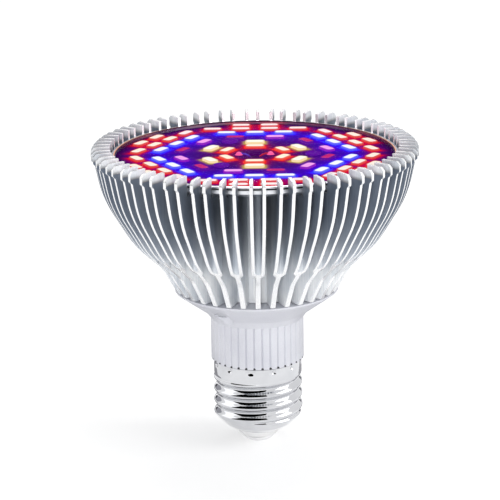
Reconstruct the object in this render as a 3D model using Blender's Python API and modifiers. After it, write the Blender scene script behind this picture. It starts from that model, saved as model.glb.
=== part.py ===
"""LED grow bulb: an E27 cap, a moulded driver housing, a turned fin heat sink and a 78 lamp board
under a clear cover.

Metres, +Z up from the centre contact to the light. The origin is the middle of the contact's lowest face.
"""

import math

import bmesh
import bpy
from mathutils import Matrix, Vector

PART_NAME = "grow_light_bulb"

# Fits shared by all pieces
SEAT_GAP = 0.0003
MERGE = 0.000001
CUT_THROUGH = 0.002

# Facets round the axis
ROUND_STEPS = 40
HOUSING_STEPS = 36
THREAD_STEPS = 24
SMALL_STEPS = 10
ARC_STEPS = 2

# Centre contact and its rivet
CONTACT_RADIUS = 0.0048
CONTACT_THICKNESS = 0.0014
CONTACT_EDGE = 0.0009
CONTACT_EDGE_STEP = 0.00027
RIVET_RADIUS = 0.0010
RIVET_STAND = 0.0004

# Insulator between the contact and the screw shell
INSULATOR_FOOT_RADIUS = 0.0055
INSULATOR_STEP = 0.0005
INSULATOR_SEAT_HEIGHT = 0.0047

# Screw shell, the standard E27 round thread
SHELL_MOUTH_HEIGHT = 0.0039
SHELL_HEIGHT = 0.0214
SHELL_MOUTH_RADIUS = 0.0077
SHELL_BAND_RADIUS = 0.01305
SHELL_WALL = 0.0003
SHELL_SHOULDER_RADIUS = 0.0103
SHELL_SHOULDER_RISE = 0.0016
SHELL_CONE_RISE = 0.0046
SHELL_CONE_BULGE = 0.0003
THREAD_CREST_RADIUS = 0.01322
THREAD_ROOT_RADIUS = 0.01205
THREAD_PITCH = 0.003629
THREAD_CREST_HEIGHT = 0.01064
THREAD_LENGTH = 0.0128
THREAD_RUN_IN = 0.0010
THREAD_RUN_OUT = 0.0016
THREAD_ROWS_A_TURN = 5

# Driver housing: spigot in the shell, ribbed collar, flare and flange, sleeve in the heat sink
SPIGOT_CLEARANCE = 0.00035
SPIGOT_LENGTH = 0.0131
SPIGOT_BORE = 0.0100
COLLAR_RADIUS = 0.01375
COLLAR_HEIGHT = 0.0127
COLLAR_BORE = 0.0112
RIB_COUNT = 36
RIB_GROOVE_WIDTH = 0.00045
RIB_GROOVE_DEPTH = 0.0004
FLARE_HEIGHT = 0.0092
FLARE_FOOT_RADIUS = 0.0153
FLARE_FOOT_RISE = 0.0022
FLARE_WALL = 0.0017
POCKET_INNER_RADIUS = 0.0152
FLANGE_RADIUS = 0.0242
FLANGE_EDGE = 0.0005
SLEEVE_WALL = 0.0013
SLEEVE_CLEARANCE = 0.0003
HOUSING_BOSS_RADIUS = 0.0036

# Heat sink: extruded core, stems and forks, turned to a bowl
SINK_HEIGHT = 0.0427
SINK_BORE_RADIUS = 0.0144
SINK_CORE_RADIUS = 0.0188
SINK_NECK_RADIUS = 0.0243
FORK_COUNT = 36
STEM_THICKNESS = 0.0014
FORK_RADIUS = 0.0343
FORK_WEB = 0.0016
BRANCH_THICKNESS = 0.0009
BRANCH_SPREAD_AT_FORK = 0.0026
BRANCH_SPREAD_AT_TIP = 0.0036
TIP_RADIUS = 0.0475
TIP_CORNER = 0.0010
TIP_BAND = 0.0019
TIP_CHAMFER = 0.0008
CROWN_WIDTH = 0.0055
CROWN_HEIGHT = 0.0025
BOWL_SHOULDER_DROP = 0.0140
BOWL_SHOULDER_FILLET = 0.0300
BOWL_BELLY_DROP = 0.0275
BOWL_BELLY_FILLET = 0.0220
BOWL_WAIST_DROP = 0.0350
# how far out each point of the bowl lies between the neck and the tips
BOWL_SHOULDER_SHARE = 0.875
BOWL_BELLY_SHARE = 0.530
BOWL_WAIST_SHARE = 0.190
PORT_COUNT = 3
PORT_VALLEY = 23
PORT_CIRCLE_RADIUS = 0.0170
PORT_RADIUS = 0.0014
PORT_MOUTH = 0.0011

# Tray, lamp board and cover
TRAY_HEIGHT = 0.0030
TRAY_FLOOR = 0.0008
TRAY_WALL = 0.0010
TRAY_BAND = 0.00205
TRAY_DRAFT = 0.0015
BOARD_THICKNESS = 0.0010
BOARD_CLEARANCE = 0.0004
BOARD_TURN = math.radians(-1.2)
LAMP_LENGTH = 0.0057
LAMP_WIDTH = 0.0030
LAMP_HEIGHT = 0.0006
LAMP_SIDES = 6
COVER_THICKNESS = 0.0008
COVER_PROUD = 0.0008
COVER_SKIRT = 0.0011
COVER_EDGE = 0.0003
LEAD_HOLE_RADIUS = 0.0030
# lamp spacing as a share of the board's radius
LAMP_PITCH_SHARE = 0.2149
# rows of one hexagon side: distance as a share of the board's radius, lamp count, spacing in pitches
LAMP_ROWS = (
    (0.2308, 1, 1.0),
    (0.3672, 1, 1.0),
    (0.5186, 2, 1.378),
    (0.6650, 3, 1.0),
    (0.7891, 4, 1.0),
    (0.9082, 2, 1.0),
)

# Screws
SCREW_RADIUS = 0.0011
SCREW_HOLE_RADIUS = 0.0015
SCREW_HEAD_RADIUS = 0.0024
BOARD_SCREW_HEAD = 0.0004
BOARD_SCREW_LENGTH = 0.0090
HOUSING_SCREW_HEAD = 0.0015
HOUSING_SCREW_LENGTH = 0.0090
COUNTERBORE_RADIUS = 0.0028
COUNTERBORE_SEAT = 0.0030

# Driver board and what is soldered to it
DRIVER_BOARD_THICKNESS = 0.0010
DRIVER_BOARD_BACK = 0.0035
DRIVER_BOARD_LIFT = 0.0045
DRIVER_BOARD_HEADROOM = 0.0058
# upright cans: name, radius, length, place across the board, height above its foot
DRIVER_CANS = (
    ("input_capacitor", 0.0040, 0.0125, -0.0048, 0.0040),
    ("output_capacitor", 0.0032, 0.0100, 0.0042, 0.0370),
    ("fuse_resistor", 0.0014, 0.0070, 0.0080, 0.0020),
    ("choke", 0.0034, 0.0065, -0.0048, 0.0380),
)
# box shaped parts: name, size, place across the board, height above its foot, on the rear face or not
DRIVER_BLOCKS = (
    ("film_capacitor", (0.0052, 0.0042, 0.0095), 0.0032, 0.0035, False),
    ("bridge_rectifier", (0.0048, 0.0022, 0.0040), 0.0040, 0.0145, False),
    ("driver_chip", (0.0040, 0.0016, 0.0050), 0.0020, 0.0240, True),
    ("output_diode", (0.0044, 0.0022, 0.0028), -0.0030, 0.0360, True),
)

# Transformer on the driver board
TRANSFORMER_WIDTH = 0.0150
TRANSFORMER_DEPTH = 0.0044
TRANSFORMER_HEIGHT = 0.0130
TRANSFORMER_LIFT = 0.0290
TRANSFORMER_LEG = 0.0040
TRANSFORMER_YOKE = 0.0015
WINDING_STAND = 0.0030
WINDING_CLEARANCE = 0.0004

# Wires and leads
SUPPLY_WIRE_RADIUS = 0.0006
SUPPLY_WIRE_SPREAD = 0.0020
SUPPLY_WIRE_LAP = 0.0025
LEAD_RADIUS = 0.00025
LEAD_SPREAD = 0.0010
LEAD_LAP = 0.0020
LEAD_REACH = 0.0050
PAD_GAP = 0.0001
WIRE_BEND = 0.0030

# Levels that follow from the sizes above
INSULATOR_FOOT = CONTACT_THICKNESS + SEAT_GAP
SHELL_TOP = SHELL_MOUTH_HEIGHT + SHELL_HEIGHT
COLLAR_FOOT = SHELL_TOP + SEAT_GAP
SPIGOT_RADIUS = THREAD_ROOT_RADIUS - SHELL_WALL - SPIGOT_CLEARANCE
SPIGOT_FOOT = COLLAR_FOOT - SPIGOT_LENGTH
COLLAR_TOP = COLLAR_FOOT + COLLAR_HEIGHT
FLANGE_TOP = COLLAR_TOP + FLARE_HEIGHT
SINK_FOOT = FLANGE_TOP + SEAT_GAP
SINK_TOP = SINK_FOOT + SINK_HEIGHT
CROWN_RADIUS = TIP_RADIUS - CROWN_WIDTH
BOWL_SHOULDER_RADIUS = SINK_NECK_RADIUS + BOWL_SHOULDER_SHARE * (TIP_RADIUS - SINK_NECK_RADIUS)
BOWL_BELLY_RADIUS = SINK_NECK_RADIUS + BOWL_BELLY_SHARE * (TIP_RADIUS - SINK_NECK_RADIUS)
BOWL_WAIST_RADIUS = SINK_NECK_RADIUS + BOWL_WAIST_SHARE * (TIP_RADIUS - SINK_NECK_RADIUS)
TRAY_TOP = SINK_TOP - CROWN_HEIGHT
TRAY_FOOT = TRAY_TOP - TRAY_HEIGHT
TRAY_RADIUS = CROWN_RADIUS - SEAT_GAP
TRAY_BORE = TRAY_RADIUS - TRAY_WALL
RECESS_FLOOR = TRAY_FOOT - SEAT_GAP
BOARD_FOOT = TRAY_FOOT + TRAY_FLOOR + SEAT_GAP
BOARD_TOP = BOARD_FOOT + BOARD_THICKNESS
BOARD_RADIUS = TRAY_BORE - BOARD_CLEARANCE
LAMP_PITCH = LAMP_PITCH_SHARE * BOARD_RADIUS
COVER_TOP = TRAY_TOP + COVER_PROUD
SLEEVE_RADIUS = SINK_BORE_RADIUS - SLEEVE_CLEARANCE
SLEEVE_BORE = SLEEVE_RADIUS - SLEEVE_WALL
SLEEVE_TOP = RECESS_FLOOR - SEAT_GAP
COUNTERBORE_FLOOR = FLANGE_TOP - COUNTERBORE_SEAT
DRIVER_BOARD_FOOT = COLLAR_FOOT + DRIVER_BOARD_LIFT
DRIVER_BOARD_LENGTH = SLEEVE_TOP - DRIVER_BOARD_HEADROOM - DRIVER_BOARD_FOOT
DRIVER_FACE = -DRIVER_BOARD_BACK + DRIVER_BOARD_THICKNESS / 2 + SEAT_GAP
DRIVER_REAR = -DRIVER_BOARD_BACK - DRIVER_BOARD_THICKNESS / 2 - SEAT_GAP


def clear_scene():
    """Removes every object, so that the file holds the bulb alone."""
    for obj in list(bpy.data.objects):
        bpy.data.objects.remove(obj, do_unlink=True)


def new_collection(name):
    """A collection of this name, linked to the scene."""
    group = bpy.data.collections.new(name)
    bpy.context.scene.collection.children.link(group)
    return group


def new_material(name, color, roughness, metallic=0.0, alpha=1.0, glow=0.0):
    """A Principled material of this linear colour."""
    made = bpy.data.materials.new(name)
    made.use_nodes = True
    shader = made.node_tree.nodes["Principled BSDF"]
    shader.inputs["Base Color"].default_value = (*color, 1.0)
    shader.inputs["Roughness"].default_value = roughness
    shader.inputs["Metallic"].default_value = metallic
    shader.inputs["Alpha"].default_value = alpha
    shader.inputs["Emission Color"].default_value = (*color, 1.0)
    shader.inputs["Emission Strength"].default_value = glow
    return made


def add_object(name, data, group):
    """An object for this mesh or curve, linked to the collection."""
    obj = bpy.data.objects.new(name, data)
    group.objects.link(obj)
    return obj


def as_cutter(obj):
    """Marks a helper that only shapes other pieces."""
    obj.hide_render = True
    obj.display_type = "WIRE"
    return obj


def finish(obj, material):
    """Gives the piece its material and smooth round faces with crisp edges."""
    obj.data.materials.clear()
    obj.data.materials.append(material)
    if obj.type == "MESH":
        obj.data.shade_smooth()
        obj.data.set_sharp_from_angle(angle=math.radians(35))
    return obj


def rounded(corners):
    """The corners (radius, height, fillet) as profile points, each fillet drawn as a short arc."""
    points = []
    for index, (radius, height, fillet) in enumerate(corners):
        corner = Vector((radius, height))
        if not fillet:
            points.append(corner)
            continue
        before = (Vector(corners[index - 1][:2]) - corner).normalized()
        after = (Vector(corners[(index + 1) % len(corners)][:2]) - corner).normalized()
        half_angle = before.angle(after) / 2
        centre = corner + (before + after).normalized() * (fillet / math.sin(half_angle))
        start = corner + before * (fillet / math.tan(half_angle)) - centre
        end = corner + after * (fillet / math.tan(half_angle)) - centre
        turn = start.angle_signed(end)
        for step in range(ARC_STEPS + 1):
            angle = -turn * step / ARC_STEPS
            points.append(centre + Matrix.Rotation(angle, 2) @ start)
    return [(point.x, point.y) for point in points]


def turned(name, profile, group, steps=ROUND_STEPS, closed=False):
    """A turned shape: the profile runs down its outer side and is swept round Z."""
    mesh = bpy.data.meshes.new(name)
    count = len(profile)
    edges = [(i, (i + 1) % count) for i in range(count if closed else count - 1)]
    mesh.from_pydata([(radius, 0, height) for radius, height in profile], edges, [])
    obj = add_object(name, mesh, group)
    sweep = obj.modifiers.new("turn", "SCREW")
    sweep.axis = "Z"
    sweep.angle = 2 * math.pi
    sweep.steps = steps
    sweep.render_steps = steps
    sweep.use_merge_vertices = True
    sweep.merge_threshold = MERGE
    return obj


def boolean(obj, other, operation):
    """Adds one exact Boolean with another mesh object."""
    cut = obj.modifiers.new(other.name, "BOOLEAN")
    cut.operation = operation
    cut.object = other
    cut.solver = "EXACT"


def baked(obj):
    """Replaces the object by its evaluated mesh, with loose caps welded."""
    bpy.context.view_layer.update()
    graph = bpy.context.evaluated_depsgraph_get()
    mesh = bpy.data.meshes.new_from_object(obj.evaluated_get(graph))
    bm = bmesh.new()
    bm.from_mesh(mesh)
    bmesh.ops.remove_doubles(bm, verts=bm.verts, dist=MERGE)
    bm.to_mesh(mesh)
    bm.free()
    name, matrix, group = obj.name, obj.matrix_world.copy(), obj.users_collection[0]
    bpy.data.objects.remove(obj, do_unlink=True)
    made = add_object(name, mesh, group)
    made.matrix_world = matrix
    return made


def extruded(name, outlines, foot, top, group):
    """A plate with these closed outlines, holes included, standing from foot to top."""
    curve = bpy.data.curves.new(name, "CURVE")
    curve.dimensions = "2D"
    curve.fill_mode = "BOTH"
    curve.extrude = (top - foot) / 2
    for outline in outlines:
        spline = curve.splines.new("POLY")
        spline.points.add(len(outline) - 1)
        spline.use_cyclic_u = True
        for point, (x, y) in zip(spline.points, outline):
            point.co = (x, y, 0, 1)
    obj = add_object(name, curve, group)
    obj.location.z = (foot + top) / 2
    return baked(obj)


def block(name, size, place, group):
    """A box of this size with its centre at place."""
    bpy.ops.mesh.primitive_cube_add(size=1, location=place)
    obj = bpy.context.object
    obj.name = name
    obj.data.name = name
    obj.scale = size
    return settled(obj, group)


def rod(name, radius, foot, top, group, place=(0, 0), steps=SMALL_STEPS):
    """An upright cylinder from foot to top with its axis at place."""
    bpy.ops.mesh.primitive_cylinder_add(
        vertices=steps,
        radius=radius,
        depth=top - foot,
        location=(place[0], place[1], (foot + top) / 2),
    )
    obj = bpy.context.object
    obj.name = name
    obj.data.name = name
    return settled(obj, group)


def settled(obj, group):
    """Applies the scale and moves a new primitive to its collection."""
    bpy.ops.object.transform_apply(location=False, rotation=False, scale=True)
    for old in list(obj.users_collection):
        old.objects.unlink(obj)
    group.objects.link(obj)
    return obj


def circle(radius, steps, centre=(0, 0)):
    """Points evenly round a circle."""
    turns = [2 * math.pi * step / steps for step in range(steps)]
    return [(centre[0] + radius * math.cos(a), centre[1] + radius * math.sin(a)) for a in turns]


def port_azimuths():
    """Directions of the screw ports, each in the middle of a valley between two stems."""
    first = (PORT_VALLEY + 0.5) * 2 * math.pi / FORK_COUNT
    return [first + 2 * math.pi * index / PORT_COUNT for index in range(PORT_COUNT)]


def port_places():
    """Middle of each screw port, seen from above."""
    return [
        (PORT_CIRCLE_RADIUS * math.cos(azimuth), PORT_CIRCLE_RADIUS * math.sin(azimuth))
        for azimuth in port_azimuths()
    ]


def centre_contact(group):
    """The solder button with its rivet, which passes through the insulator."""
    rivet_top = SHELL_MOUTH_HEIGHT + INSULATOR_SEAT_HEIGHT + RIVET_STAND
    profile = (
        (0, rivet_top),
        (RIVET_RADIUS, rivet_top),
        (RIVET_RADIUS, CONTACT_THICKNESS),
        (CONTACT_RADIUS, CONTACT_THICKNESS),
        (CONTACT_RADIUS, CONTACT_EDGE),
        (CONTACT_RADIUS - CONTACT_EDGE_STEP, CONTACT_EDGE_STEP),
        (CONTACT_RADIUS - CONTACT_EDGE, 0),
        (0, 0),
    )
    return turned("centre_contact", profile, group, THREAD_STEPS)


def cup_radius(height):
    """Outer radius of the plain drawn cup at this height, below its straight band."""
    levels = (
        (SHELL_MOUTH_HEIGHT, SHELL_MOUTH_RADIUS),
        (SHELL_MOUTH_HEIGHT + SHELL_SHOULDER_RISE, SHELL_SHOULDER_RADIUS),
        (SHELL_MOUTH_HEIGHT + SHELL_CONE_RISE, SHELL_BAND_RADIUS),
    )
    for (low, inner), (high, outer) in zip(levels, levels[1:]):
        if height <= high:
            return inner + (outer - inner) * (height - low) / (high - low)
    return SHELL_BAND_RADIUS


def base_insulator(group):
    """The pale plug that holds the contact and fills the bottom of the shell."""
    inset = SHELL_WALL + 2 * SEAT_GAP
    mouth = SHELL_MOUTH_HEIGHT
    shoulder = mouth + SHELL_SHOULDER_RISE
    top = mouth + INSULATOR_SEAT_HEIGHT
    bore = RIVET_RADIUS + SEAT_GAP
    seat_radius = SPIGOT_RADIUS - INSULATOR_STEP
    bevel = top - INSULATOR_STEP
    profile = (
        (bore, top),
        (seat_radius - INSULATOR_STEP, top),
        (seat_radius, bevel),
        (min(seat_radius, cup_radius(bevel - 2 * INSULATOR_STEP) - inset), bevel - 2 * INSULATOR_STEP),
        (cup_radius(shoulder) - inset, shoulder + SEAT_GAP),
        (cup_radius(mouth) - inset, mouth + SEAT_GAP),
        (cup_radius(mouth) - inset, mouth - INSULATOR_STEP),
        (INSULATOR_FOOT_RADIUS, INSULATOR_FOOT),
        (bore, INSULATOR_FOOT),
    )
    return turned("base_insulator", profile, group, THREAD_STEPS, closed=True)


def thread_strength(height):
    """How far the thread is rolled in at this height, from 0 on the band to 1."""
    foot = SHELL_MOUTH_HEIGHT + SHELL_CONE_RISE
    rise = (height - foot + THREAD_RUN_IN / 2) / THREAD_RUN_IN
    fall = (foot + THREAD_LENGTH - height) / THREAD_RUN_OUT
    return max(0.0, min(1.0, rise, fall))


def screw_shell(group):
    """The drawn cup, turned plain and then rolled with the round E27 thread."""
    foot = SHELL_MOUTH_HEIGHT + SHELL_CONE_RISE
    rows = round(THREAD_LENGTH / THREAD_PITCH * THREAD_ROWS_A_TURN)
    thread_heights = [foot + THREAD_LENGTH * (rows - row) / rows for row in range(rows + 1)]
    shoulder = SHELL_MOUTH_HEIGHT + SHELL_SHOULDER_RISE
    cone_middle = (shoulder + foot) / 2
    profile = [(SHELL_BAND_RADIUS, SHELL_TOP)]
    profile += [(SHELL_BAND_RADIUS, height) for height in thread_heights]
    profile += [
        (cup_radius(cone_middle) + SHELL_CONE_BULGE, cone_middle),
        (SHELL_SHOULDER_RADIUS, shoulder),
        (SHELL_MOUTH_RADIUS, SHELL_MOUTH_HEIGHT),
    ]
    obj = baked(turned("screw_shell", profile, group, THREAD_STEPS))
    middle = (THREAD_CREST_RADIUS + THREAD_ROOT_RADIUS) / 2
    depth = (THREAD_CREST_RADIUS - THREAD_ROOT_RADIUS) / 2
    for vertex in obj.data.vertices:
        height = vertex.co.z
        strength = thread_strength(height)
        azimuth = math.atan2(vertex.co.y, vertex.co.x)
        phase = 2 * math.pi * (height - THREAD_CREST_HEIGHT) / THREAD_PITCH - azimuth
        plain = math.hypot(vertex.co.x, vertex.co.y)
        radius = plain + strength * (middle + depth * math.cos(phase) - plain)
        vertex.co.x *= radius / plain
        vertex.co.y *= radius / plain
    wall = obj.modifiers.new("wall", "SOLIDIFY")
    wall.thickness = SHELL_WALL
    wall.offset = -1
    return obj


def collar_outline():
    """The ribbed collar from above: flat staves with a narrow groove after each."""
    points = []
    groove_half = RIB_GROOVE_WIDTH / 2 / COLLAR_RADIUS
    for rib in range(RIB_COUNT):
        groove = (rib + 0.5) * 2 * math.pi / RIB_COUNT
        for azimuth, radius in (
            (groove - groove_half, COLLAR_RADIUS),
            (groove, COLLAR_RADIUS - RIB_GROOVE_DEPTH),
            (groove + groove_half, COLLAR_RADIUS),
        ):
            points.append((radius * math.cos(azimuth), radius * math.sin(azimuth)))
    return points


def driver_housing(group, cutters):
    """The white moulding: spigot, ribbed collar, flare with hidden pockets, flange and sleeve."""
    foot_level = COLLAR_TOP + FLARE_FOOT_RISE
    under_collar = COLLAR_RADIUS - 2 * RIB_GROOVE_DEPTH
    profile = (
        (SLEEVE_RADIUS, SLEEVE_TOP),
        (SLEEVE_RADIUS, FLANGE_TOP),
        (FLANGE_RADIUS, FLANGE_TOP),
        (FLANGE_RADIUS, FLANGE_TOP - FLANGE_EDGE),
        (FLARE_FOOT_RADIUS, foot_level),
        (COLLAR_RADIUS, COLLAR_TOP),
        (under_collar, COLLAR_TOP - RIB_GROOVE_DEPTH),
        (under_collar, COLLAR_FOOT + RIB_GROOVE_DEPTH),
        (SPIGOT_RADIUS, COLLAR_FOOT + RIB_GROOVE_DEPTH),
        (SPIGOT_RADIUS, SPIGOT_FOOT),
        (SPIGOT_BORE, SPIGOT_FOOT),
        (SPIGOT_BORE, COLLAR_FOOT),
        (COLLAR_BORE, COLLAR_FOOT + COLLAR_BORE - SPIGOT_BORE),
        (COLLAR_BORE, FLANGE_TOP - (SLEEVE_BORE - COLLAR_BORE)),
        (SLEEVE_BORE, FLANGE_TOP),
        (SLEEVE_BORE, SLEEVE_TOP),
    )
    body = turned("driver_housing", profile, group, HOUSING_STEPS, closed=True)
    ring_bore = circle((COLLAR_BORE + under_collar) / 2, HOUSING_STEPS)
    ring = extruded("collar_ribs", (collar_outline(), ring_bore), COLLAR_FOOT, COLLAR_TOP, cutters)
    boolean(body, as_cutter(ring), "UNION")

    slope = (FLANGE_TOP - FLANGE_EDGE - foot_level) / (FLANGE_RADIUS - FLARE_FOOT_RADIUS)
    lift = FLARE_WALL * math.hypot(1, slope)
    pocket_outer = SINK_CORE_RADIUS - SEAT_GAP
    pocket_profile = (
        (pocket_outer, FLANGE_TOP + CUT_THROUGH),
        (pocket_outer, foot_level + lift + slope * (pocket_outer - FLARE_FOOT_RADIUS)),
        (POCKET_INNER_RADIUS, foot_level + lift),
        (POCKET_INNER_RADIUS, FLANGE_TOP + CUT_THROUGH),
    )
    pockets = turned("flare_pockets", pocket_profile, cutters, HOUSING_STEPS, closed=True)
    for index, place in enumerate(port_places()):
        boss = rod(f"boss_{index + 1}", HOUSING_BOSS_RADIUS, COLLAR_TOP, SINK_TOP, cutters, place)
        boolean(pockets, as_cutter(boss), "DIFFERENCE")
    boolean(body, as_cutter(pockets), "DIFFERENCE")
    for index, place in enumerate(port_places()):
        seat = rod(
            f"counterbore_{index + 1}",
            COUNTERBORE_RADIUS,
            COLLAR_TOP,
            COUNTERBORE_FLOOR,
            cutters,
            place,
            2 * SMALL_STEPS,
        )
        hole = rod(
            f"housing_hole_{index + 1}",
            SCREW_HOLE_RADIUS,
            COUNTERBORE_FLOOR - CUT_THROUGH,
            FLANGE_TOP + CUT_THROUGH,
            cutters,
            place,
        )
        boolean(body, as_cutter(seat), "DIFFERENCE")
        boolean(body, as_cutter(hole), "DIFFERENCE")
    return body


def fork_outline():
    """One tuning fork fin along +X, from the core's right side round to its left side."""
    reach = TIP_RADIUS + CUT_THROUGH
    near = BRANCH_SPREAD_AT_FORK / 2
    widening = (BRANCH_SPREAD_AT_TIP - BRANCH_SPREAD_AT_FORK) / 2 / (TIP_RADIUS - FORK_RADIUS)
    far = near + widening * (reach - FORK_RADIUS)
    half_branch = BRANCH_THICKNESS / 2
    half_stem = STEM_THICKNESS / 2
    stem_foot = math.sqrt(SINK_CORE_RADIUS**2 - half_stem**2)
    half = [
        (stem_foot, half_stem),
        (FORK_RADIUS - FORK_WEB, half_stem),
        (FORK_RADIUS - half_branch, near + half_branch),
        (reach, far + half_branch),
        (reach, far - half_branch),
        (FORK_RADIUS + half_branch, near - half_branch),
        (FORK_RADIUS, near - 2 * half_branch),
    ]
    return [(x, -y) for x, y in half] + list(reversed(half))


def port_outline():
    """One screw port along +X: a round channel in the core that opens into the valley."""
    mouth = PORT_MOUTH / 2
    opening = math.asin(mouth / PORT_RADIUS)
    face = math.sqrt(SINK_CORE_RADIUS**2 - mouth**2)
    turns = [-opening - (2 * math.pi - 2 * opening) * step / SMALL_STEPS for step in range(SMALL_STEPS + 1)]
    arc = [
        (PORT_CIRCLE_RADIUS + PORT_RADIUS * math.cos(turn), PORT_RADIUS * math.sin(turn)) for turn in turns
    ]
    return [(face, -mouth)] + arc + [(face, mouth)]


def sink_outline():
    """The whole extrusion from above: forks, valley floors and screw ports in one closed line."""
    pitch = 2 * math.pi / FORK_COUNT
    every = FORK_COUNT // PORT_COUNT
    ports = {(PORT_VALLEY + every * index) % FORK_COUNT for index in range(PORT_COUNT)}
    points = []
    for fork in range(FORK_COUNT):
        shapes = [(fork * pitch, fork_outline())]
        if fork in ports:
            shapes.append(((fork + 0.5) * pitch, port_outline()))
        for turn, shape in shapes:
            cosine, sine = math.cos(turn), math.sin(turn)
            points += [(x * cosine - y * sine, x * sine + y * cosine) for x, y in shape]
    return points


def bowl_profile():
    """Outline that the lathe leaves: crown, lip, bowl, waist and the recess for the tray."""
    lip_foot = SINK_TOP - TIP_CORNER - TIP_BAND
    belly = rounded(
        (
            (TIP_RADIUS - TIP_CHAMFER, lip_foot - TIP_CHAMFER, 0),
            (BOWL_SHOULDER_RADIUS, SINK_TOP - BOWL_SHOULDER_DROP, BOWL_SHOULDER_FILLET),
            (BOWL_BELLY_RADIUS, SINK_TOP - BOWL_BELLY_DROP, BOWL_BELLY_FILLET),
            (BOWL_WAIST_RADIUS, SINK_TOP - BOWL_WAIST_DROP, 0),
            (SINK_NECK_RADIUS, SINK_FOOT, 0),
        )
    )
    return [
        (0, RECESS_FLOOR),
        (CROWN_RADIUS, RECESS_FLOOR),
        (CROWN_RADIUS, SINK_TOP),
        (TIP_RADIUS - TIP_CORNER, SINK_TOP),
        (TIP_RADIUS, SINK_TOP - TIP_CORNER),
        (TIP_RADIUS, lip_foot),
        *belly,
        (0, SINK_FOOT),
    ]


def heat_sink(group, cutters):
    """The aluminium extrusion, cut to length and turned to its bowl."""
    outlines = (sink_outline(), circle(SINK_BORE_RADIUS, ROUND_STEPS))
    sink = extruded("heat_sink", outlines, SINK_FOOT - CUT_THROUGH, SINK_TOP + CUT_THROUGH, group)
    form = turned("lathe_form", bowl_profile(), cutters, 2 * FORK_COUNT)
    boolean(sink, as_cutter(form), "INTERSECT")
    return sink


def led_tray(group, cutters):
    """The shallow aluminium dish that carries the lamp board in the recess of the fins."""
    floor = TRAY_FOOT + TRAY_FLOOR
    profile = (
        (TRAY_RADIUS, TRAY_TOP),
        (TRAY_RADIUS, TRAY_TOP - TRAY_BAND),
        (TRAY_RADIUS - TRAY_DRAFT, TRAY_FOOT),
        (LEAD_HOLE_RADIUS, TRAY_FOOT),
        (LEAD_HOLE_RADIUS, floor),
        (TRAY_BORE, floor),
        (TRAY_BORE, TRAY_TOP),
    )
    tray = turned("led_tray", profile, group, closed=True)
    drill_ports(tray, "tray_hole", TRAY_FOOT, floor, cutters)
    return tray


def drill_ports(obj, name, foot, top, cutters):
    """Clearance holes over the screw ports."""
    for index, place in enumerate(port_places()):
        hole = rod(
            f"{name}_{index + 1}", SCREW_HOLE_RADIUS, foot - CUT_THROUGH, top + CUT_THROUGH, cutters, place
        )
        boolean(obj, as_cutter(hole), "DIFFERENCE")


def lamp_frames():
    """Place and heading of all 78 lamps, side by side round the hexagon."""
    frames = []
    for side in range(LAMP_SIDES):
        heading = BOARD_TURN + math.radians(30) + side * 2 * math.pi / LAMP_SIDES
        outward = Vector((math.cos(heading), math.sin(heading)))
        along = Vector((-outward.y, outward.x))
        for distance, count, spacing in LAMP_ROWS:
            for lamp in range(count):
                offset = (lamp - (count - 1) / 2) * spacing * LAMP_PITCH
                frames.append((outward * distance * BOARD_RADIUS + along * offset, heading))
    return frames


def led_board(group, cutters):
    """The round aluminium circuit board with its soldered lamp packages."""
    profile = (
        (LEAD_HOLE_RADIUS, BOARD_TOP),
        (BOARD_RADIUS, BOARD_TOP),
        (BOARD_RADIUS, BOARD_FOOT),
        (LEAD_HOLE_RADIUS, BOARD_FOOT),
    )
    board = turned("led_board", profile, group, closed=True)
    drill_ports(board, "board_hole", BOARD_FOOT, BOARD_TOP, cutters)
    sunk = BOARD_THICKNESS / 4
    lamps = bmesh.new()
    for place, heading in lamp_frames():
        middle = Vector((place.x, place.y, BOARD_TOP + (LAMP_HEIGHT - sunk) / 2))
        size = Matrix.Diagonal((LAMP_WIDTH, LAMP_LENGTH, LAMP_HEIGHT + sunk, 1))
        frame = Matrix.Translation(middle) @ Matrix.Rotation(heading, 4, "Z") @ size
        bmesh.ops.create_cube(lamps, size=1, matrix=frame)
    mesh = bpy.data.meshes.new("lamp_packages")
    lamps.to_mesh(mesh)
    lamps.free()
    boolean(board, as_cutter(add_object("lamp_packages", mesh, cutters)), "UNION")
    return board


def cover(group):
    """The clear disc over the lamps, standing on the board with a short skirt."""
    radius = TRAY_BORE - SEAT_GAP
    under = COVER_TOP - COVER_THICKNESS
    profile = (
        (0, COVER_TOP),
        (radius - COVER_EDGE, COVER_TOP),
        (radius, COVER_TOP - COVER_EDGE),
        (radius, BOARD_TOP + SEAT_GAP),
        (radius - COVER_SKIRT, BOARD_TOP + SEAT_GAP),
        (radius - COVER_SKIRT, under),
        (0, under),
    )
    return turned("lens_cover", profile, group)


def screws(name, head, length, group, material):
    """One screw for each port, all with the same mesh: head above, shank along -Z."""
    profile = (
        (0, head),
        (SCREW_HEAD_RADIUS - head / 3, head),
        (SCREW_HEAD_RADIUS, head * 2 / 3),
        (SCREW_HEAD_RADIUS, 0),
        (SCREW_RADIUS, 0),
        (SCREW_RADIUS, -length),
        (0, -length),
    )
    first = finish(baked(turned(f"{name}_1", profile, group, SMALL_STEPS)), material)
    others = [add_object(f"{name}_{index}", first.data, group) for index in range(2, PORT_COUNT + 1)]
    return [first, *others]


def fasteners(group, steel):
    """The board screws from above and the housing screws from below, in the same ports."""
    board_screws = screws("board_screw", BOARD_SCREW_HEAD, BOARD_SCREW_LENGTH, group, steel)
    for screw, place in zip(board_screws, port_places()):
        screw.location = (*place, BOARD_TOP + SEAT_GAP)
    housing_screws = screws("housing_screw", HOUSING_SCREW_HEAD, HOUSING_SCREW_LENGTH, group, steel)
    for screw, place in zip(housing_screws, port_places()):
        screw.location = (*place, COUNTERBORE_FLOOR - SEAT_GAP)
        screw.rotation_euler = (math.pi, 0, 0)
    return board_screws + housing_screws


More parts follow.
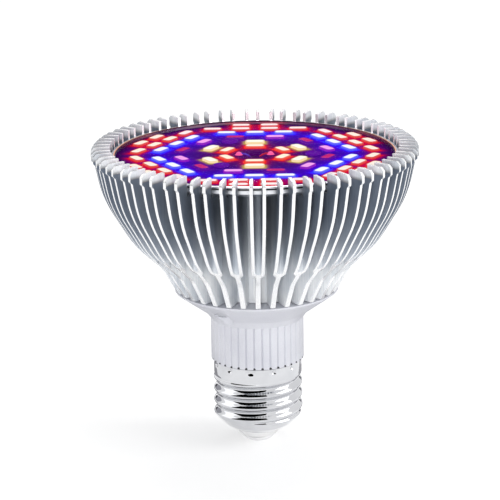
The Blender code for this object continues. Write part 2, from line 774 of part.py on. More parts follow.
def driver_board(group):
    """The upright driver board, whose edges stand close to the housing's bore."""
    half_width = math.sqrt(COLLAR_BORE**2 - (DRIVER_BOARD_BACK + DRIVER_BOARD_THICKNESS / 2) ** 2)
    size = (2 * (half_width - SEAT_GAP), DRIVER_BOARD_THICKNESS, DRIVER_BOARD_LENGTH)
    place = (0, -DRIVER_BOARD_BACK, DRIVER_BOARD_FOOT + DRIVER_BOARD_LENGTH / 2)
    return block("driver_board", size, place, group)


def transformer(group, cutters):
    """The transformer: a ferrite frame with a middle leg, and the winding round that leg."""
    window = (TRANSFORMER_WIDTH - TRANSFORMER_LEG) / 2 - TRANSFORMER_YOKE
    window_height = TRANSFORMER_HEIGHT - 2 * TRANSFORMER_YOKE
    winding_depth = TRANSFORMER_DEPTH + 2 * WINDING_STAND
    level = DRIVER_BOARD_FOOT + TRANSFORMER_LIFT
    place = (0, DRIVER_FACE + winding_depth / 2, level)
    core_size = (TRANSFORMER_WIDTH, TRANSFORMER_DEPTH, TRANSFORMER_HEIGHT)
    core = block("transformer_core", core_size, place, group)
    for name, sense in (("left", -1), ("right", 1)):
        across = sense * (TRANSFORMER_LEG + window) / 2
        window_size = (window, 2 * TRANSFORMER_DEPTH, window_height)
        hole = block(f"core_window_{name}", window_size, (across, place[1], level), cutters)
        boolean(core, as_cutter(hole), "DIFFERENCE")
    winding_size = (
        TRANSFORMER_LEG + 2 * (window - WINDING_CLEARANCE),
        winding_depth,
        window_height - 2 * WINDING_CLEARANCE,
    )
    winding = block("transformer_winding", winding_size, place, group)
    leg_size = (
        TRANSFORMER_LEG + 2 * WINDING_CLEARANCE,
        TRANSFORMER_DEPTH + 2 * WINDING_CLEARANCE,
        TRANSFORMER_HEIGHT,
    )
    leg_hole = block("winding_bore", leg_size, place, cutters)
    boolean(winding, as_cutter(leg_hole), "DIFFERENCE")
    return core, winding


def driver_parts(group):
    """The other parts on the driver board by name, each seated on one of its faces."""
    made = {}
    for name, radius, length, across, lift in DRIVER_CANS:
        foot = DRIVER_BOARD_FOOT + lift
        made[name] = rod(name, radius, foot, foot + length, group, (across, DRIVER_FACE + radius))
    for name, size, across, lift, rear in DRIVER_BLOCKS:
        depth = size[1] / 2
        y = DRIVER_REAR - depth if rear else DRIVER_FACE + depth
        made[name] = block(name, size, (across, y, DRIVER_BOARD_FOOT + lift + size[2] / 2), group)
    return made


def smooth_route(points, steps=2):
    """A smooth line through the points, read off between each two of them."""
    line = []
    ends = [points[0], *points, points[-1]]
    for a, b, c, d in zip(ends, ends[1:], ends[2:], ends[3:]):
        a, b, c, d = (Vector(point) for point in (a, b, c, d))
        for step in range(steps):
            t = step / steps
            bend = (2 * a - 5 * b + 4 * c - d) * t * t + (3 * b - a - 3 * c + d) * t**3
            line.append(b + ((c - a) * t + bend) / 2)
    return [*line, Vector(points[-1])]


def wire(name, route, radius, group):
    """A round wire along the route, with closed ends."""
    points = smooth_route(route)
    curve = bpy.data.curves.new(name, "CURVE")
    curve.dimensions = "3D"
    curve.bevel_depth = radius
    curve.bevel_resolution = 2
    curve.use_fill_caps = True
    spline = curve.splines.new("POLY")
    spline.points.add(len(points) - 1)
    for point, place in zip(spline.points, points):
        point.co = (*place, 1)
    return add_object(name, curve, group)


def wires(group):
    """Supply wires down to the cap, and the two leads up to pads on the lamp board."""
    seat = DRIVER_FACE + SUPPLY_WIRE_RADIUS
    start = DRIVER_BOARD_FOOT + SUPPLY_WIRE_LAP
    below_board = DRIVER_BOARD_FOOT - WIRE_BEND
    contact_end = SHELL_MOUTH_HEIGHT + INSULATOR_SEAT_HEIGHT + RIVET_STAND + SEAT_GAP
    under_spigot = (SHELL_MOUTH_HEIGHT + INSULATOR_SEAT_HEIGHT + SPIGOT_FOOT) / 2
    shell_end = SPIGOT_RADIUS - SEAT_GAP
    live = (
        (-SUPPLY_WIRE_SPREAD, seat, start),
        (-SUPPLY_WIRE_SPREAD, seat, below_board),
        (-0.0008, seat / 2, SPIGOT_FOOT + 0.0040),
        (0, 0, contact_end + WIRE_BEND),
        (0, 0, contact_end),
    )
    neutral = (
        (SUPPLY_WIRE_SPREAD, seat, start),
        (0.0022, seat, below_board),
        (0.0045, seat, SPIGOT_FOOT + WIRE_BEND),
        (shell_end - WIRE_BEND, -0.0010, under_spigot),
        (shell_end, 0, under_spigot),
    )
    made = [
        wire("live_wire", live, SUPPLY_WIRE_RADIUS, group),
        wire("neutral_wire", neutral, SUPPLY_WIRE_RADIUS, group),
    ]
    lead_seat = DRIVER_FACE + LEAD_RADIUS
    board_end = DRIVER_BOARD_FOOT + DRIVER_BOARD_LENGTH
    pad_level = BOARD_TOP + PAD_GAP + LEAD_RADIUS
    for name, sense in (("led_lead_positive", 1), ("led_lead_negative", -1)):
        route = (
            (sense * LEAD_SPREAD, lead_seat, board_end - LEAD_LAP),
            (sense * LEAD_SPREAD, lead_seat, board_end + LEAD_SPREAD),
            (sense * 0.0012, 0, TRAY_FOOT),
            (sense * 0.0016, 0, BOARD_TOP - 2 * LEAD_RADIUS),
            (sense * 0.0026, 0, pad_level - LEAD_RADIUS),
            (sense * 0.0036, 0, pad_level),
            (sense * LEAD_REACH, 0, pad_level),
        )
        made.append(wire(name, route, LEAD_RADIUS, group))
    return made


def main():
    clear_scene()
    parts = new_collection(PART_NAME)
    cutters = new_collection("cutters")

    aluminium = new_material("turned_aluminium", (0.72, 0.74, 0.77), 0.28, 1.0)
    tray_metal = new_material("spun_aluminium", (0.80, 0.81, 0.83), 0.35, 1.0)
    nickel = new_material("nickel_plate", (0.78, 0.77, 0.75), 0.12, 1.0)
    solder = new_material("contact_metal", (0.75, 0.75, 0.76), 0.30, 1.0)
    steel = new_material("screw_steel", (0.60, 0.60, 0.62), 0.30, 1.0)
    white_plastic = new_material("white_plastic", (0.80, 0.80, 0.83), 0.35)
    pale_ceramic = new_material("pale_insulator", (0.75, 0.75, 0.76), 0.45)
    board_face = new_material("lamp_board", (0.30, 0.02, 0.45), 0.45, glow=0.6)
    clear_plastic = new_material("clear_cover", (0.95, 0.95, 0.97), 0.05, alpha=0.15)
    laminate = new_material("driver_laminate", (0.04, 0.22, 0.08), 0.50)
    ferrite = new_material("ferrite", (0.03, 0.03, 0.03), 0.60)
    copper = new_material("winding_tape", (0.75, 0.55, 0.08), 0.40)
    sleeve_black = new_material("capacitor_sleeve", (0.02, 0.02, 0.03), 0.35)
    moulded_black = new_material("moulded_black", (0.03, 0.03, 0.03), 0.50)
    film_red = new_material("film_red", (0.45, 0.03, 0.02), 0.40)
    resistor_green = new_material("resistor_coat", (0.10, 0.28, 0.16), 0.50)
    wire_red = new_material("wire_red", (0.55, 0.02, 0.02), 0.40)
    wire_white = new_material("wire_white", (0.75, 0.75, 0.75), 0.40)
    wire_black = new_material("wire_black", (0.02, 0.02, 0.02), 0.40)
    wire_blue = new_material("wire_blue", (0.03, 0.10, 0.45), 0.40)

    finish(centre_contact(parts), solder)
    finish(base_insulator(parts), pale_ceramic)
    finish(screw_shell(parts), nickel)
    finish(driver_housing(parts, cutters), white_plastic)
    finish(heat_sink(parts, cutters), aluminium)
    finish(led_tray(parts, cutters), tray_metal)
    finish(led_board(parts, cutters), board_face)
    finish(cover(parts), clear_plastic)
    fasteners(parts, steel)

    finish(driver_board(parts), laminate)
    core, winding = transformer(parts, cutters)
    finish(core, ferrite)
    finish(winding, copper)
    coats = {
        "input_capacitor": sleeve_black,
        "output_capacitor": sleeve_black,
        "fuse_resistor": resistor_green,
        "choke": ferrite,
        "film_capacitor": film_red,
        "bridge_rectifier": moulded_black,
        "driver_chip": moulded_black,
        "output_diode": moulded_black,
    }
    for name, piece in driver_parts(parts).items():
        finish(piece, coats[name])
    for piece, coat in zip(wires(parts), (wire_black, wire_white, wire_red, wire_blue)):
        finish(piece, coat)

    frame = bpy.data.objects.new(f"{PART_NAME}_frame", None)
    parts.objects.link(frame)
    for obj in parts.objects:
        if obj is not frame:
            obj.parent = frame


main()
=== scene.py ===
"""Looks of the LED grow bulb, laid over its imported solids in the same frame.

Metres, +Z up from the centre contact to the light. The sizes repeat the values that the solids were built
from.
"""

import sys

import logging
import math
from collections.abc import Callable, Iterator, Sequence
from contextlib import contextmanager
from dataclasses import dataclass, field
from enum import Enum

import bpy
import numpy as np
from bpy.types import Material, Node, NodeSocket, NodeTree, Object
from mathutils import Matrix, Vector


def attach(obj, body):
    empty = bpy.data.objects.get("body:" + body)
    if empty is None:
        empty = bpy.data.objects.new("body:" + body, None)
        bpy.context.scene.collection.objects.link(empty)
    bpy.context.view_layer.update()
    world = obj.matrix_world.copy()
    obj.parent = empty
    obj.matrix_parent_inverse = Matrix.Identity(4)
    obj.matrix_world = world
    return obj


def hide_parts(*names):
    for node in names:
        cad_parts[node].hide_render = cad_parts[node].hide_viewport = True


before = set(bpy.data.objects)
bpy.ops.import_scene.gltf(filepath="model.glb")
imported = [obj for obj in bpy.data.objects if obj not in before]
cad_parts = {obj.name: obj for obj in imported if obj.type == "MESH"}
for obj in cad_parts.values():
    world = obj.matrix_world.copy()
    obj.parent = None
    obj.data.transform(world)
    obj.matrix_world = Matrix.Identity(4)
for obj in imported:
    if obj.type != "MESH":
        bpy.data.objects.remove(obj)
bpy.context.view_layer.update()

LOG = logging.getLogger("grow_bulb")
MM = 0.001
# how far a cutting tool stands past what it cuts
SPARE = 1.0 * MM
# facets of a small drilled hole
HOLE_SIDES = 24
# metres from one band of a wave texture to the next at scale 1
WAVE_LENGTH = 0.314
# broad patches of colour and shine, about 11 mm across
PATCHES_PER_METRE = 90.0
CENTRE = (0.0, 0.0, 0.0)
Z_AXIS = (0.0, 0.0, 1.0)
Point = tuple[float, float]
Triple = tuple[float, float, float]
Corner = Triple
Color = tuple[float, float, float, float]
Choice = Callable[[Vector, Vector], bool]


# ---------------------------------------------------------------- sizes shared by several pieces


@dataclass(frozen=True)
class Levels:
    """Heights above the contact and radii from the axis that more than one piece keeps to."""

    contact_top: float = 1.4 * MM
    insulator_foot: float = 1.7 * MM
    shell_mouth: float = 3.9 * MM
    shell_top: float = 25.3 * MM
    collar_foot: float = 25.6 * MM
    collar_top: float = 38.3 * MM
    flange_top: float = 47.5 * MM
    sink_foot: float = 47.8 * MM
    sink_top: float = 90.5 * MM
    recess_floor: float = 84.7 * MM
    tray_foot: float = 85.0 * MM
    tray_top: float = 88.0 * MM
    board_foot: float = 86.1 * MM
    board_top: float = 87.1 * MM
    cover_foot: float = 87.4 * MM
    cover_top: float = 88.8 * MM
    recess_radius: float = 42.0 * MM
    tray_radius: float = 41.7 * MM
    tray_bore: float = 40.7 * MM
    board_radius: float = 40.3 * MM
    cover_radius: float = 40.4 * MM
    port_circle: float = 17.0 * MM
    port_azimuths: tuple[float, ...] = (-125.0, -5.0, 115.0)

    def port_places(self) -> list[Point]:
        """Middle of each screw port, seen from above."""
        turns = [math.radians(azimuth) for azimuth in self.port_azimuths]
        return [(self.port_circle * math.cos(turn), self.port_circle * math.sin(turn)) for turn in turns]


# ---------------------------------------------------------------- finishes


def linear(code: str) -> Color:
    """Turns an sRGB hex colour into linear values.

    Args:
        code: Six hex digits.

    Returns:
        Red, green, blue and alpha.
    """
    values = [int(code[start : start + 2], 16) / 255 for start in (0, 2, 4)]
    red, green, blue = (v / 12.92 if v <= 0.04045 else ((v + 0.055) / 1.055) ** 2.4 for v in values)
    return (red, green, blue, 1.0)


def add_node(tree: NodeTree, kind: str, inputs: dict[str | int, object] | None = None) -> Node:
    """Adds one node, sets its values and joins its inputs.

    Args:
        tree: The material's or world's nodes.
        kind: The node's type, without its prefix.
        inputs: A value for each property and unlinked input, and an output socket for each linked input.

    Returns:
        The new node.
    """
    node = tree.nodes.new(f"ShaderNode{kind}")
    for key, value in (inputs or {}).items():
        if isinstance(value, NodeSocket):
            tree.links.new(value, node.inputs[key])
        elif isinstance(key, str) and hasattr(node, key):
            setattr(node, key, value)
        else:
            node.inputs[key].default_value = value
    return node


def for_rays(tree: NodeTree, *rays: str) -> NodeSocket:
    """A factor of 1 for light rays of these kinds and 0 for all others.

    Args:
        tree: The material's or world's nodes.
        rays: Outputs of the light path, at least one.

    Returns:
        The factor.
    """
    path = add_node(tree, "LightPath").outputs
    factor = path[rays[0]]
    for ray in rays[1:]:
        factor = add_node(tree, "Math", {"operation": "MAXIMUM", 0: factor, 1: path[ray]}).outputs[0]
    return factor


class Grain(Enum):
    """How a surface was made, which sets its pattern."""

    TURNED = "rings round the axis from the lathe tool"
    EXTRUDED = "lines along the die"
    PLATED = "bright plate with faint waves"
    CAST = "soft lumps of solder"
    MOULDED = "fine even texture of the mould"
    WOVEN = "glass cloth under resin"
    SINTERED = "fine hard grains"
    WOUND = "turns of tape"


@dataclass(frozen=True)
class Finish:
    """One real material: its colours, shine and surface pattern."""

    name: str
    color: str
    shade: str
    roughness: float
    grain: Grain
    size: float = 0.5 * MM
    height: float = 0.01 * MM
    metallic: float = 0.0
    specular: float = 0.5
    glow: str = ""
    glow_strength: float = 0.0

    def vector(self, tree: NodeTree) -> NodeSocket:
        """Object coordinates, stretched the way that the surface was worked.

        Args:
            tree: The material's nodes.

        Returns:
            The coordinates.
        """
        stretch = {
            Grain.TURNED: (0.06, 0.06, 1.0),
            Grain.EXTRUDED: (1.0, 1.0, 0.02),
            Grain.WOUND: (0.1, 0.1, 1.0),
        }.get(self.grain, (1.0, 1.0, 1.0))
        place = add_node(tree, "TexCoord").outputs["Object"]
        return add_node(tree, "Mapping", {"Scale": stretch, "Vector": place}).outputs["Vector"]

    def pattern(self, tree: NodeTree) -> NodeSocket:
        """The height pattern from 0 to 1 at its real size.

        Args:
            tree: The material's nodes.

        Returns:
            The height.
        """
        vector = self.vector(tree)
        if self.grain is Grain.WOVEN:
            # thread spacing as a sine in both directions, multiplied
            threads = {"Scale": WAVE_LENGTH / self.size, "Distortion": 0.4, "Vector": vector}
            warp, weft = (
                add_node(tree, "TexWave", {"bands_direction": axis, **threads}).outputs["Fac"]
                for axis in ("X", "Z")
            )
            return add_node(tree, "Math", {"operation": "MULTIPLY", 0: warp, 1: weft}).outputs[0]
        detail = {Grain.PLATED: 1.0, Grain.CAST: 2.0}.get(self.grain, 3.0)
        settings = {"Scale": 1 / self.size, "Detail": detail, "Roughness": 0.55, "Vector": vector}
        return add_node(tree, "TexNoise", settings).outputs["Fac"]

    def dress(self, tree: NodeTree, shader: Node) -> None:
        """Adds what only this finish has. The plain finish has nothing more."""

    def material(self) -> Material:
        """Builds the material once and hands it out again after that.

        Returns:
            The Blender material.
        """
        known = bpy.data.materials.get(self.name)
        if known:
            return known
        made = bpy.data.materials.new(self.name)
        made.use_nodes = True
        tree = made.node_tree
        shader = tree.nodes["Principled BSDF"]
        shader.inputs["Metallic"].default_value = self.metallic
        shader.inputs["Specular IOR Level"].default_value = self.specular
        pattern = self.pattern(tree)
        # patches, so that no face is one flat colour
        broad = {"Scale": PATCHES_PER_METRE, "Detail": 2.0}
        place = add_node(tree, "TexCoord").outputs["Object"]
        patches = add_node(tree, "TexNoise", {**broad, "Vector": place}).outputs["Fac"]
        mixed = {"operation": "MULTIPLY_ADD", 0: pattern, 1: 0.6, 2: patches}
        ramp = add_node(tree, "ValToRGB", {"Fac": add_node(tree, "Math", mixed).outputs[0]})
        for stop, position, code in zip(ramp.color_ramp.elements, (0.50, 0.95), (self.shade, self.color)):
            stop.position = position
            stop.color = linear(code)
        tree.links.new(ramp.outputs["Color"], shader.inputs["Base Color"])
        limits = {"To Min": self.roughness * 0.8, "To Max": min(1.0, self.roughness * 1.25)}
        shine = add_node(tree, "MapRange", {**limits, "Value": patches})
        tree.links.new(shine.outputs["Result"], shader.inputs["Roughness"])
        bump = add_node(tree, "Bump", {"Distance": self.height, "Height": pattern})
        tree.links.new(bump.outputs["Normal"], shader.inputs["Normal"])
        if self.glow:
            shader.inputs["Emission Color"].default_value = linear(self.glow)
            shader.inputs["Emission Strength"].default_value = self.glow_strength
        self.dress(tree, shader)
        return made


@dataclass(frozen=True)
class LitFinish(Finish):
    """A surface that glows in a colour kept on its own points."""

    specular: float = 0.0
    attribute: str = "glow"

    def dress(self, tree: NodeTree, shader: Node) -> None:
        """Joins the painted light to the shader's emission.

        Args:
            tree: The material's nodes.
            shader: Its shader.
        """
        light = add_node(tree, "Attribute", {"attribute_name": self.attribute}).outputs["Color"]
        tree.links.new(light, shader.inputs["Emission Color"])
        shader.inputs["Emission Strength"].default_value = 1.0


@dataclass(frozen=True)
class ClearFinish(Finish):
    """A thin clear moulding that is mostly seen through."""

    alpha: float = 0.015
    specular: float = 0.03

    def dress(self, tree: NodeTree, shader: Node) -> None:
        """Makes the sheet see-through, with a faint surface of its own."""
        shader.inputs["Alpha"].default_value = self.alpha


@dataclass(frozen=True)
class ChannelShadeFinish(Finish):
    """Extruded metal in deep channels, whose tone is painted shade that changes with the height and the
    radius, with painted light on the crown.

    Each tone is a share of the colour at a height or radius in millimetres.
    """

    # painted shade: full colour at the foot, darker higher up the fins
    shade_by_height: tuple[Point, ...] = ((56.0, 1.00), (61.0, 0.92), (68.0, 0.72), (76.0, 0.62), (90.0, 0.58))
    # painted shade: darker farther from the axis, out to the tips of the fins
    shade_by_radius: tuple[Point, ...] = ((30.0, 1.00), (36.0, 0.84), (40.0, 0.50), (44.0, 0.38), (47.5, 0.34))
    # painted light: lightens the fins above the tray
    painted_crown_light: tuple[Point, ...] = ((87.8, 0.0), (89.2, 0.90))
    span: float = 90.5

    def tone(self, tree: NodeTree, measure: NodeSocket, tones: Sequence[Point]) -> NodeSocket:
        """A cool grey of painted shade or light that follows one measure.

        Args:
            tree: The material's nodes.
            measure: The height or radius.
            tones: Millimetres and tones.

        Returns:
            The colour.
        """
        share = add_node(tree, "Math", {"operation": "DIVIDE", 0: measure, 1: self.span * MM}).outputs[0]
        ramp = add_node(tree, "ValToRGB", {"Fac": share})
        stops = ramp.color_ramp.elements
        while len(stops) < len(tones):
            stops.new(0.5)
        for stop, (level, tone) in zip(stops, tones):
            stop.position = level / self.span
            # the darker painted shade leans to blue
            stop.color = (tone ** 1.10, tone, tone ** 0.86, 1.0)
        return ramp.outputs["Color"]

    def dress(self, tree: NodeTree, shader: Node) -> None:
        """Multiplies the painted shade by height and by radius, lightens it with the painted light on the
        crown, and multiplies the colour by it.

        Args:
            tree: The material's nodes.
            shader: Its shader.
        """
        place = add_node(tree, "TexCoord").outputs["Object"]
        height = add_node(tree, "SeparateXYZ", {"Vector": place}).outputs["Z"]
        flat = add_node(tree, "VectorMath", {"operation": "MULTIPLY", 0: place, 1: (1, 1, 0)}).outputs[0]
        radius = add_node(tree, "VectorMath", {"operation": "LENGTH", 0: flat}).outputs["Value"]
        tone = self.tone(tree, height, self.shade_by_height)
        for blend, other in (
            ("MULTIPLY", self.tone(tree, radius, self.shade_by_radius)),
            ("LIGHTEN", self.tone(tree, height, self.painted_crown_light)),
            ("MULTIPLY", shader.inputs["Base Color"].links[0].from_socket),
        ):
            mixed = {"data_type": "RGBA", "blend_type": blend, 0: 1.0, 6: tone, 7: other}
            tone = add_node(tree, "Mix", mixed).outputs[2]
        tree.links.new(tone, shader.inputs["Base Color"])


class Finishes:
    """Every finish on the bulb: colour, darker shade, roughness, grain, its size and height, metallic.

    Tool marks, die lines, grains and the texture of a mould are 0.1 mm or less on the real thing, which is too
    fine to show, so they are drawn at 0.2 to 0.6 mm. Weave, tape, waves and lumps have their real sizes.
    """

    # 6063 aluminium cut on the lathe: bright, with fine rings from the tool
    turned = Finish("turned aluminium", "fcfcfd", "eff1f4", 0.24, Grain.TURNED, 0.6 * MM, 0.004 * MM, 0.70)
    # the same alloy as it leaves the die: greyer, with fine lines along the length; painted shade darkens it
    # higher up and farther out, painted light lightens the crown
    extruded = ChannelShadeFinish(
        "extruded aluminium with painted shade", "fafbfc", "ccd2da", 0.42, Grain.EXTRUDED, 0.45 * MM, 0.02 * MM, 0.18, 0.15
    )
    # soft sheet spun over a former: pale and slightly satin
    spun = Finish("spun aluminium", "eef0f4", "d4d7de", 0.28, Grain.TURNED, 0.5 * MM, 0.005 * MM, 1.0)
    # nickel over drawn brass: a mirror with faint waves from drawing
    nickel = Finish("nickel plated brass", "d7d8db", "cacbcf", 0.06, Grain.PLATED, 4.0 * MM, 0.01 * MM, 1.0)
    # tinned button of the contact: dull and a little lumpy
    solder = Finish("tin solder", "f4f4f5", "e4e4e7", 0.40, Grain.CAST, 2.0 * MM, 0.05 * MM, 0.5)
    # zinc on turned steel screws: a grey sheen with marks of the tool
    steel = Finish("zinc plated steel", "c8cacf", "9fa2aa", 0.32, Grain.TURNED, 0.4 * MM, 0.01 * MM, 1.0)
    # the same screws under the clear cover, washed by the violet light of the lamps
    lit_steel = Finish(
        "zinc plated steel in violet light", "1c0c26", "120818", 0.60, Grain.TURNED, 0.4 * MM, 0.01 * MM,
        specular=0.0, glow="5c0a9c", glow_strength=1.0,
    )
    # glass filled PBT: cool white, with the faint texture of the mould
    pbt = Finish("white moulded PBT", "dadbe2", "cecfd8", 0.38, Grain.MOULDED, 0.35 * MM, 0.006 * MM)
    # the plug of the cap in plain PBT: whiter and duller
    pale_pbt = Finish("pale moulded PBT", "f6f6f6", "ececee", 0.45, Grain.MOULDED, 0.35 * MM, 0.008 * MM)
    # the driver's board: green resin with the weave of its cloth showing through
    laminate = Finish("glass epoxy laminate", "2c6b35", "1c4f28", 0.42, Grain.WOVEN, 0.6 * MM, 0.01 * MM)
    # powder pressed and fired: near black, dull and grainy
    ferrite = Finish("sintered ferrite", "3a3b3f", "232427", 0.62, Grain.SINTERED, 0.3 * MM, 0.02 * MM)
    # tape round the winding: yellow, fairly glossy, with the edges of its turns
    tape = Finish("yellow polyester tape", "e3b83a", "c8942a", 0.35, Grain.WOUND, 0.9 * MM, 0.03 * MM)
    # sleeve shrunk on the capacitors: black with a soft shine
    sleeve = Finish("black PVC sleeve", "26262c", "16161b", 0.33, Grain.MOULDED)
    # epoxy moulded round chips and diodes: dull black with a fine grit
    epoxy = Finish("black moulded epoxy", "2e2e31", "1c1c1f", 0.50, Grain.SINTERED, 0.2 * MM, 0.01 * MM)
    # epoxy that a film capacitor is dipped in: brick red, glossy and uneven
    film = Finish("red dipped epoxy", "a3302a", "7c1e1c", 0.30, Grain.MOULDED, 1.2 * MM, 0.03 * MM)
    # lacquer baked on the resistor: dull green
    enamel = Finish("green resistor enamel", "5f8f6c", "456f54", 0.45, Grain.MOULDED, 0.6 * MM, 0.02 * MM)
    # soft PVC drawn over the supply wires: even colours with a low shine
    wire_black = Finish("black PVC insulation", "2a2a2d", "18181a", 0.40, Grain.MOULDED)
    wire_white = Finish("white PVC insulation", "e4e4e4", "cfcfd2", 0.40, Grain.MOULDED)
    # the leads end among the lamps, in their red and violet light
    wire_red = Finish(
        "red PVC insulation", "8a1420", "660c16", 0.50, Grain.MOULDED,
        specular=0.1, glow="b01848", glow_strength=0.6,
    )
    wire_blue = Finish(
        "blue PVC insulation", "1c2c80", "121c5a", 0.50, Grain.MOULDED,
        specular=0.1, glow="7a1cb0", glow_strength=0.5,
    )
    # the joints where the leads meet the board, pink in the light of the lamps
    lit_solder = Finish(
        "tin solder in red light", "601830", "401020", 0.4, Grain.CAST, 1.0 * MM, 0.05 * MM,
        specular=0.1, glow="ff5a9c", glow_strength=1.0,
    )
    # dark solder mask that only shows in the lamps' own light
    mask = LitFinish("dark solder mask", "120a18", "07040a", 0.55, Grain.SINTERED)
    # lamp bodies of white nylon, which the light fills
    lamp_body = LitFinish(
        "lit nylon lamp body", "301828", "281020", 0.50, Grain.MOULDED, 0.3 * MM, 0.005 * MM, attribute="halo"
    )
    # silicone over the chips, almost white with light
    lamp_window = LitFinish(
        "lit silicone window", "302830", "282028", 0.25, Grain.CAST, 0.8 * MM, 0.01 * MM, attribute="core"
    )
    # clear polycarbonate, seen through to the lamps
    clear = ClearFinish("clear polycarbonate", "18181c", "101014", 0.06, Grain.CAST, 6.0 * MM, 0.01 * MM)
    # the inner lip of the tray, which mirrors the outer ring of lamps
    lit_rim = LitFinish(
        "spun aluminium lit by the lamps", "1c161e", "141016", 0.35, Grain.TURNED, 0.4 * MM, 0.004 * MM
    )
    # painted shade: flat near black in the seam under the lip and in the collar's notches, where the gaps fall
    # into shadow; dull and dark
    painted_black_shade = Finish("black painted shade", "101012", "08080a", 0.60, Grain.MOULDED)


# ---------------------------------------------------------------- modelling by hand


def deselect() -> None:
    """Leaves edit mode and deselects every object."""
    if bpy.context.object and bpy.context.object.mode != "OBJECT":
        bpy.ops.object.mode_set(mode="OBJECT")
    bpy.ops.object.select_all(action="DESELECT")


def pick(*objects: Object) -> None:
    """Selects these objects alone and makes the first one active.

    Args:
        objects: The objects to work on.
    """
    deselect()
    for obj in objects:
        obj.select_set(True)
    bpy.context.view_layer.objects.active = objects[0]


@contextmanager
def editing(obj: Object, kind: str = "VERT", chosen: Choice | None = None) -> Iterator[None]:
    """Keeps the object in edit mode for a while, at first with only the chosen parts selected.

    Args:
        obj: The mesh object.
        kind: VERT, EDGE or FACE. VERT takes no choice.
        chosen: Says of a place and a normal, or an edge's direction, whether the part there is wanted. If it
            is left out, all parts are.

    Yields:
        Nothing. The work in edit mode is done meanwhile.
    """
    pick(obj)
    bpy.ops.object.mode_set(mode="EDIT")
    bpy.ops.mesh.select_mode(type=kind)
    bpy.ops.mesh.select_all(action="DESELECT" if chosen else "SELECT")
    if chosen:
        bpy.ops.object.mode_set(mode="OBJECT")
        if kind == "FACE":
            for face in obj.data.polygons:
                face.select = chosen(face.center, face.normal)
        else:
            for edge in obj.data.edges:
                start, end = (obj.data.vertices[index].co for index in edge.vertices)
                edge.select = chosen((start + end) / 2, (end - start).normalized())
        bpy.ops.object.mode_set(mode="EDIT")
    yield
    bpy.ops.object.mode_set(mode="OBJECT")


def settle(obj: Object) -> Object:
    """Moves the object's place, turn and scale into its mesh.

    Args:
        obj: The object.

    Returns:
        The same object, at the origin.
    """
    pick(obj)
    bpy.ops.object.transform_apply(location=True, rotation=True, scale=True)
    return obj


def add_box(name: str, low: Sequence[float], high: Sequence[float]) -> Object:
    """A box between two corners, with its place in its mesh.

    Args:
        name: Name of the object.
        low: Lowest corner.
        high: Highest corner.

    Returns:
        The new object.
    """
    deselect()
    middle = [(a + b) / 2 for a, b in zip(low, high)]
    bpy.ops.mesh.primitive_cube_add(size=1, location=middle, scale=[b - a for a, b in zip(low, high)])
    bpy.context.object.name = name
    return settle(bpy.context.object)


def add_rod(
    name: str,
    radius: float,
    foot: float,
    top: float,
    place: Point = (0, 0),
    sides: int = 48,
    turn: float = 0.0,
) -> Object:
    """An upright cylinder or prism from foot to top.

    Args:
        name: Name of the object.
        radius: Its radius.
        foot: Height of its lower end.
        top: Height of its upper end.
        place: Where its axis stands.
        sides: Facets round it.
        turn: Angle about its own axis in radians.

    Returns:
        The new object.
    """
    deselect()
    bpy.ops.mesh.primitive_cylinder_add(
        vertices=sides,
        radius=radius,
        depth=top - foot,
        location=(*place, (foot + top) / 2),
        rotation=(0, 0, turn),
    )
    bpy.context.object.name = name
    return settle(bpy.context.object)


def draw_line(name: str, points: Sequence[Point], closed: bool) -> Object:
    """A profile drawn in the XZ plane, one extruded vertex after another.

    Args:
        name: Name of the object.
        points: Radius and height of each point.
        closed: Whether the last point is joined to the first.

    Returns:
        The profile as edges.
    """
    deselect()
    bpy.ops.mesh.primitive_plane_add(size=MM)
    obj = bpy.context.object
    obj.name = name
    with editing(obj):
        bpy.ops.mesh.merge(type="CENTER")
        bpy.ops.transform.translate(value=(points[0][0], 0, points[0][1]))
        for (r_from, z_from), (r_to, z_to) in zip(points, points[1:]):
            step = (r_to - r_from, 0, z_to - z_from)
            bpy.ops.mesh.extrude_region_move(TRANSFORM_OT_translate={"value": step})
    if closed:
        ends = {0, len(points) - 1}
        for vertex in obj.data.vertices:
            vertex.select = vertex.index in ends
        bpy.ops.object.mode_set(mode="EDIT")
        bpy.ops.mesh.edge_face_add()
        bpy.ops.object.mode_set(mode="OBJECT")
    return obj


def lathe(name: str, points: Sequence[Point], steps: int, closed: bool = True) -> Object:
    """A turned shape: the profile spun once round Z, with its seam and poles closed.

    Args:
        name: Name of the object.
        points: Radius and height of each point.
        steps: Facets round the axis.
        closed: Whether the profile is a loop.

    Returns:
        The turned object, with its faces outwards.
    """
    obj = draw_line(name, points, closed)
    with editing(obj):
        bpy.ops.mesh.spin(steps=steps, angle=2 * math.pi, center=CENTRE, axis=Z_AXIS)
    weld(obj)
    return obj


def turn_piece(
    name: str, points: Sequence[Point], steps: int, finish: Finish, closed: bool = True
) -> Object:
    """A turned shape in one finish, shaded smooth.

    Args:
        name: Name of the object.
        points: Radius and height of each point.
        steps: Facets round the axis.
        finish: Its finish.
        closed: Whether the profile is a loop.

    Returns:
        The turned object.
    """
    obj = lathe(name, points, steps, closed)
    paint(obj, finish)
    smooth(obj)
    return obj


def weld(obj: Object) -> None:
    """Merges doubled points and turns all faces outwards.

    Args:
        obj: The object.
    """
    with editing(obj):
        bpy.ops.mesh.remove_doubles(threshold=0.001 * MM)
        bpy.ops.mesh.normals_make_consistent(inside=False)


def modify(obj: Object, kind: str, **settings: object) -> None:
    """Adds one modifier with its settings and applies it.

    Args:
        obj: The object.
        kind: The modifier's type.
        settings: Its property names and values.
    """
    modifier = obj.modifiers.new(kind.lower(), kind)
    for key, value in settings.items():
        setattr(modifier, key, value)
    pick(obj)
    bpy.ops.object.modifier_apply(modifier=modifier.name)


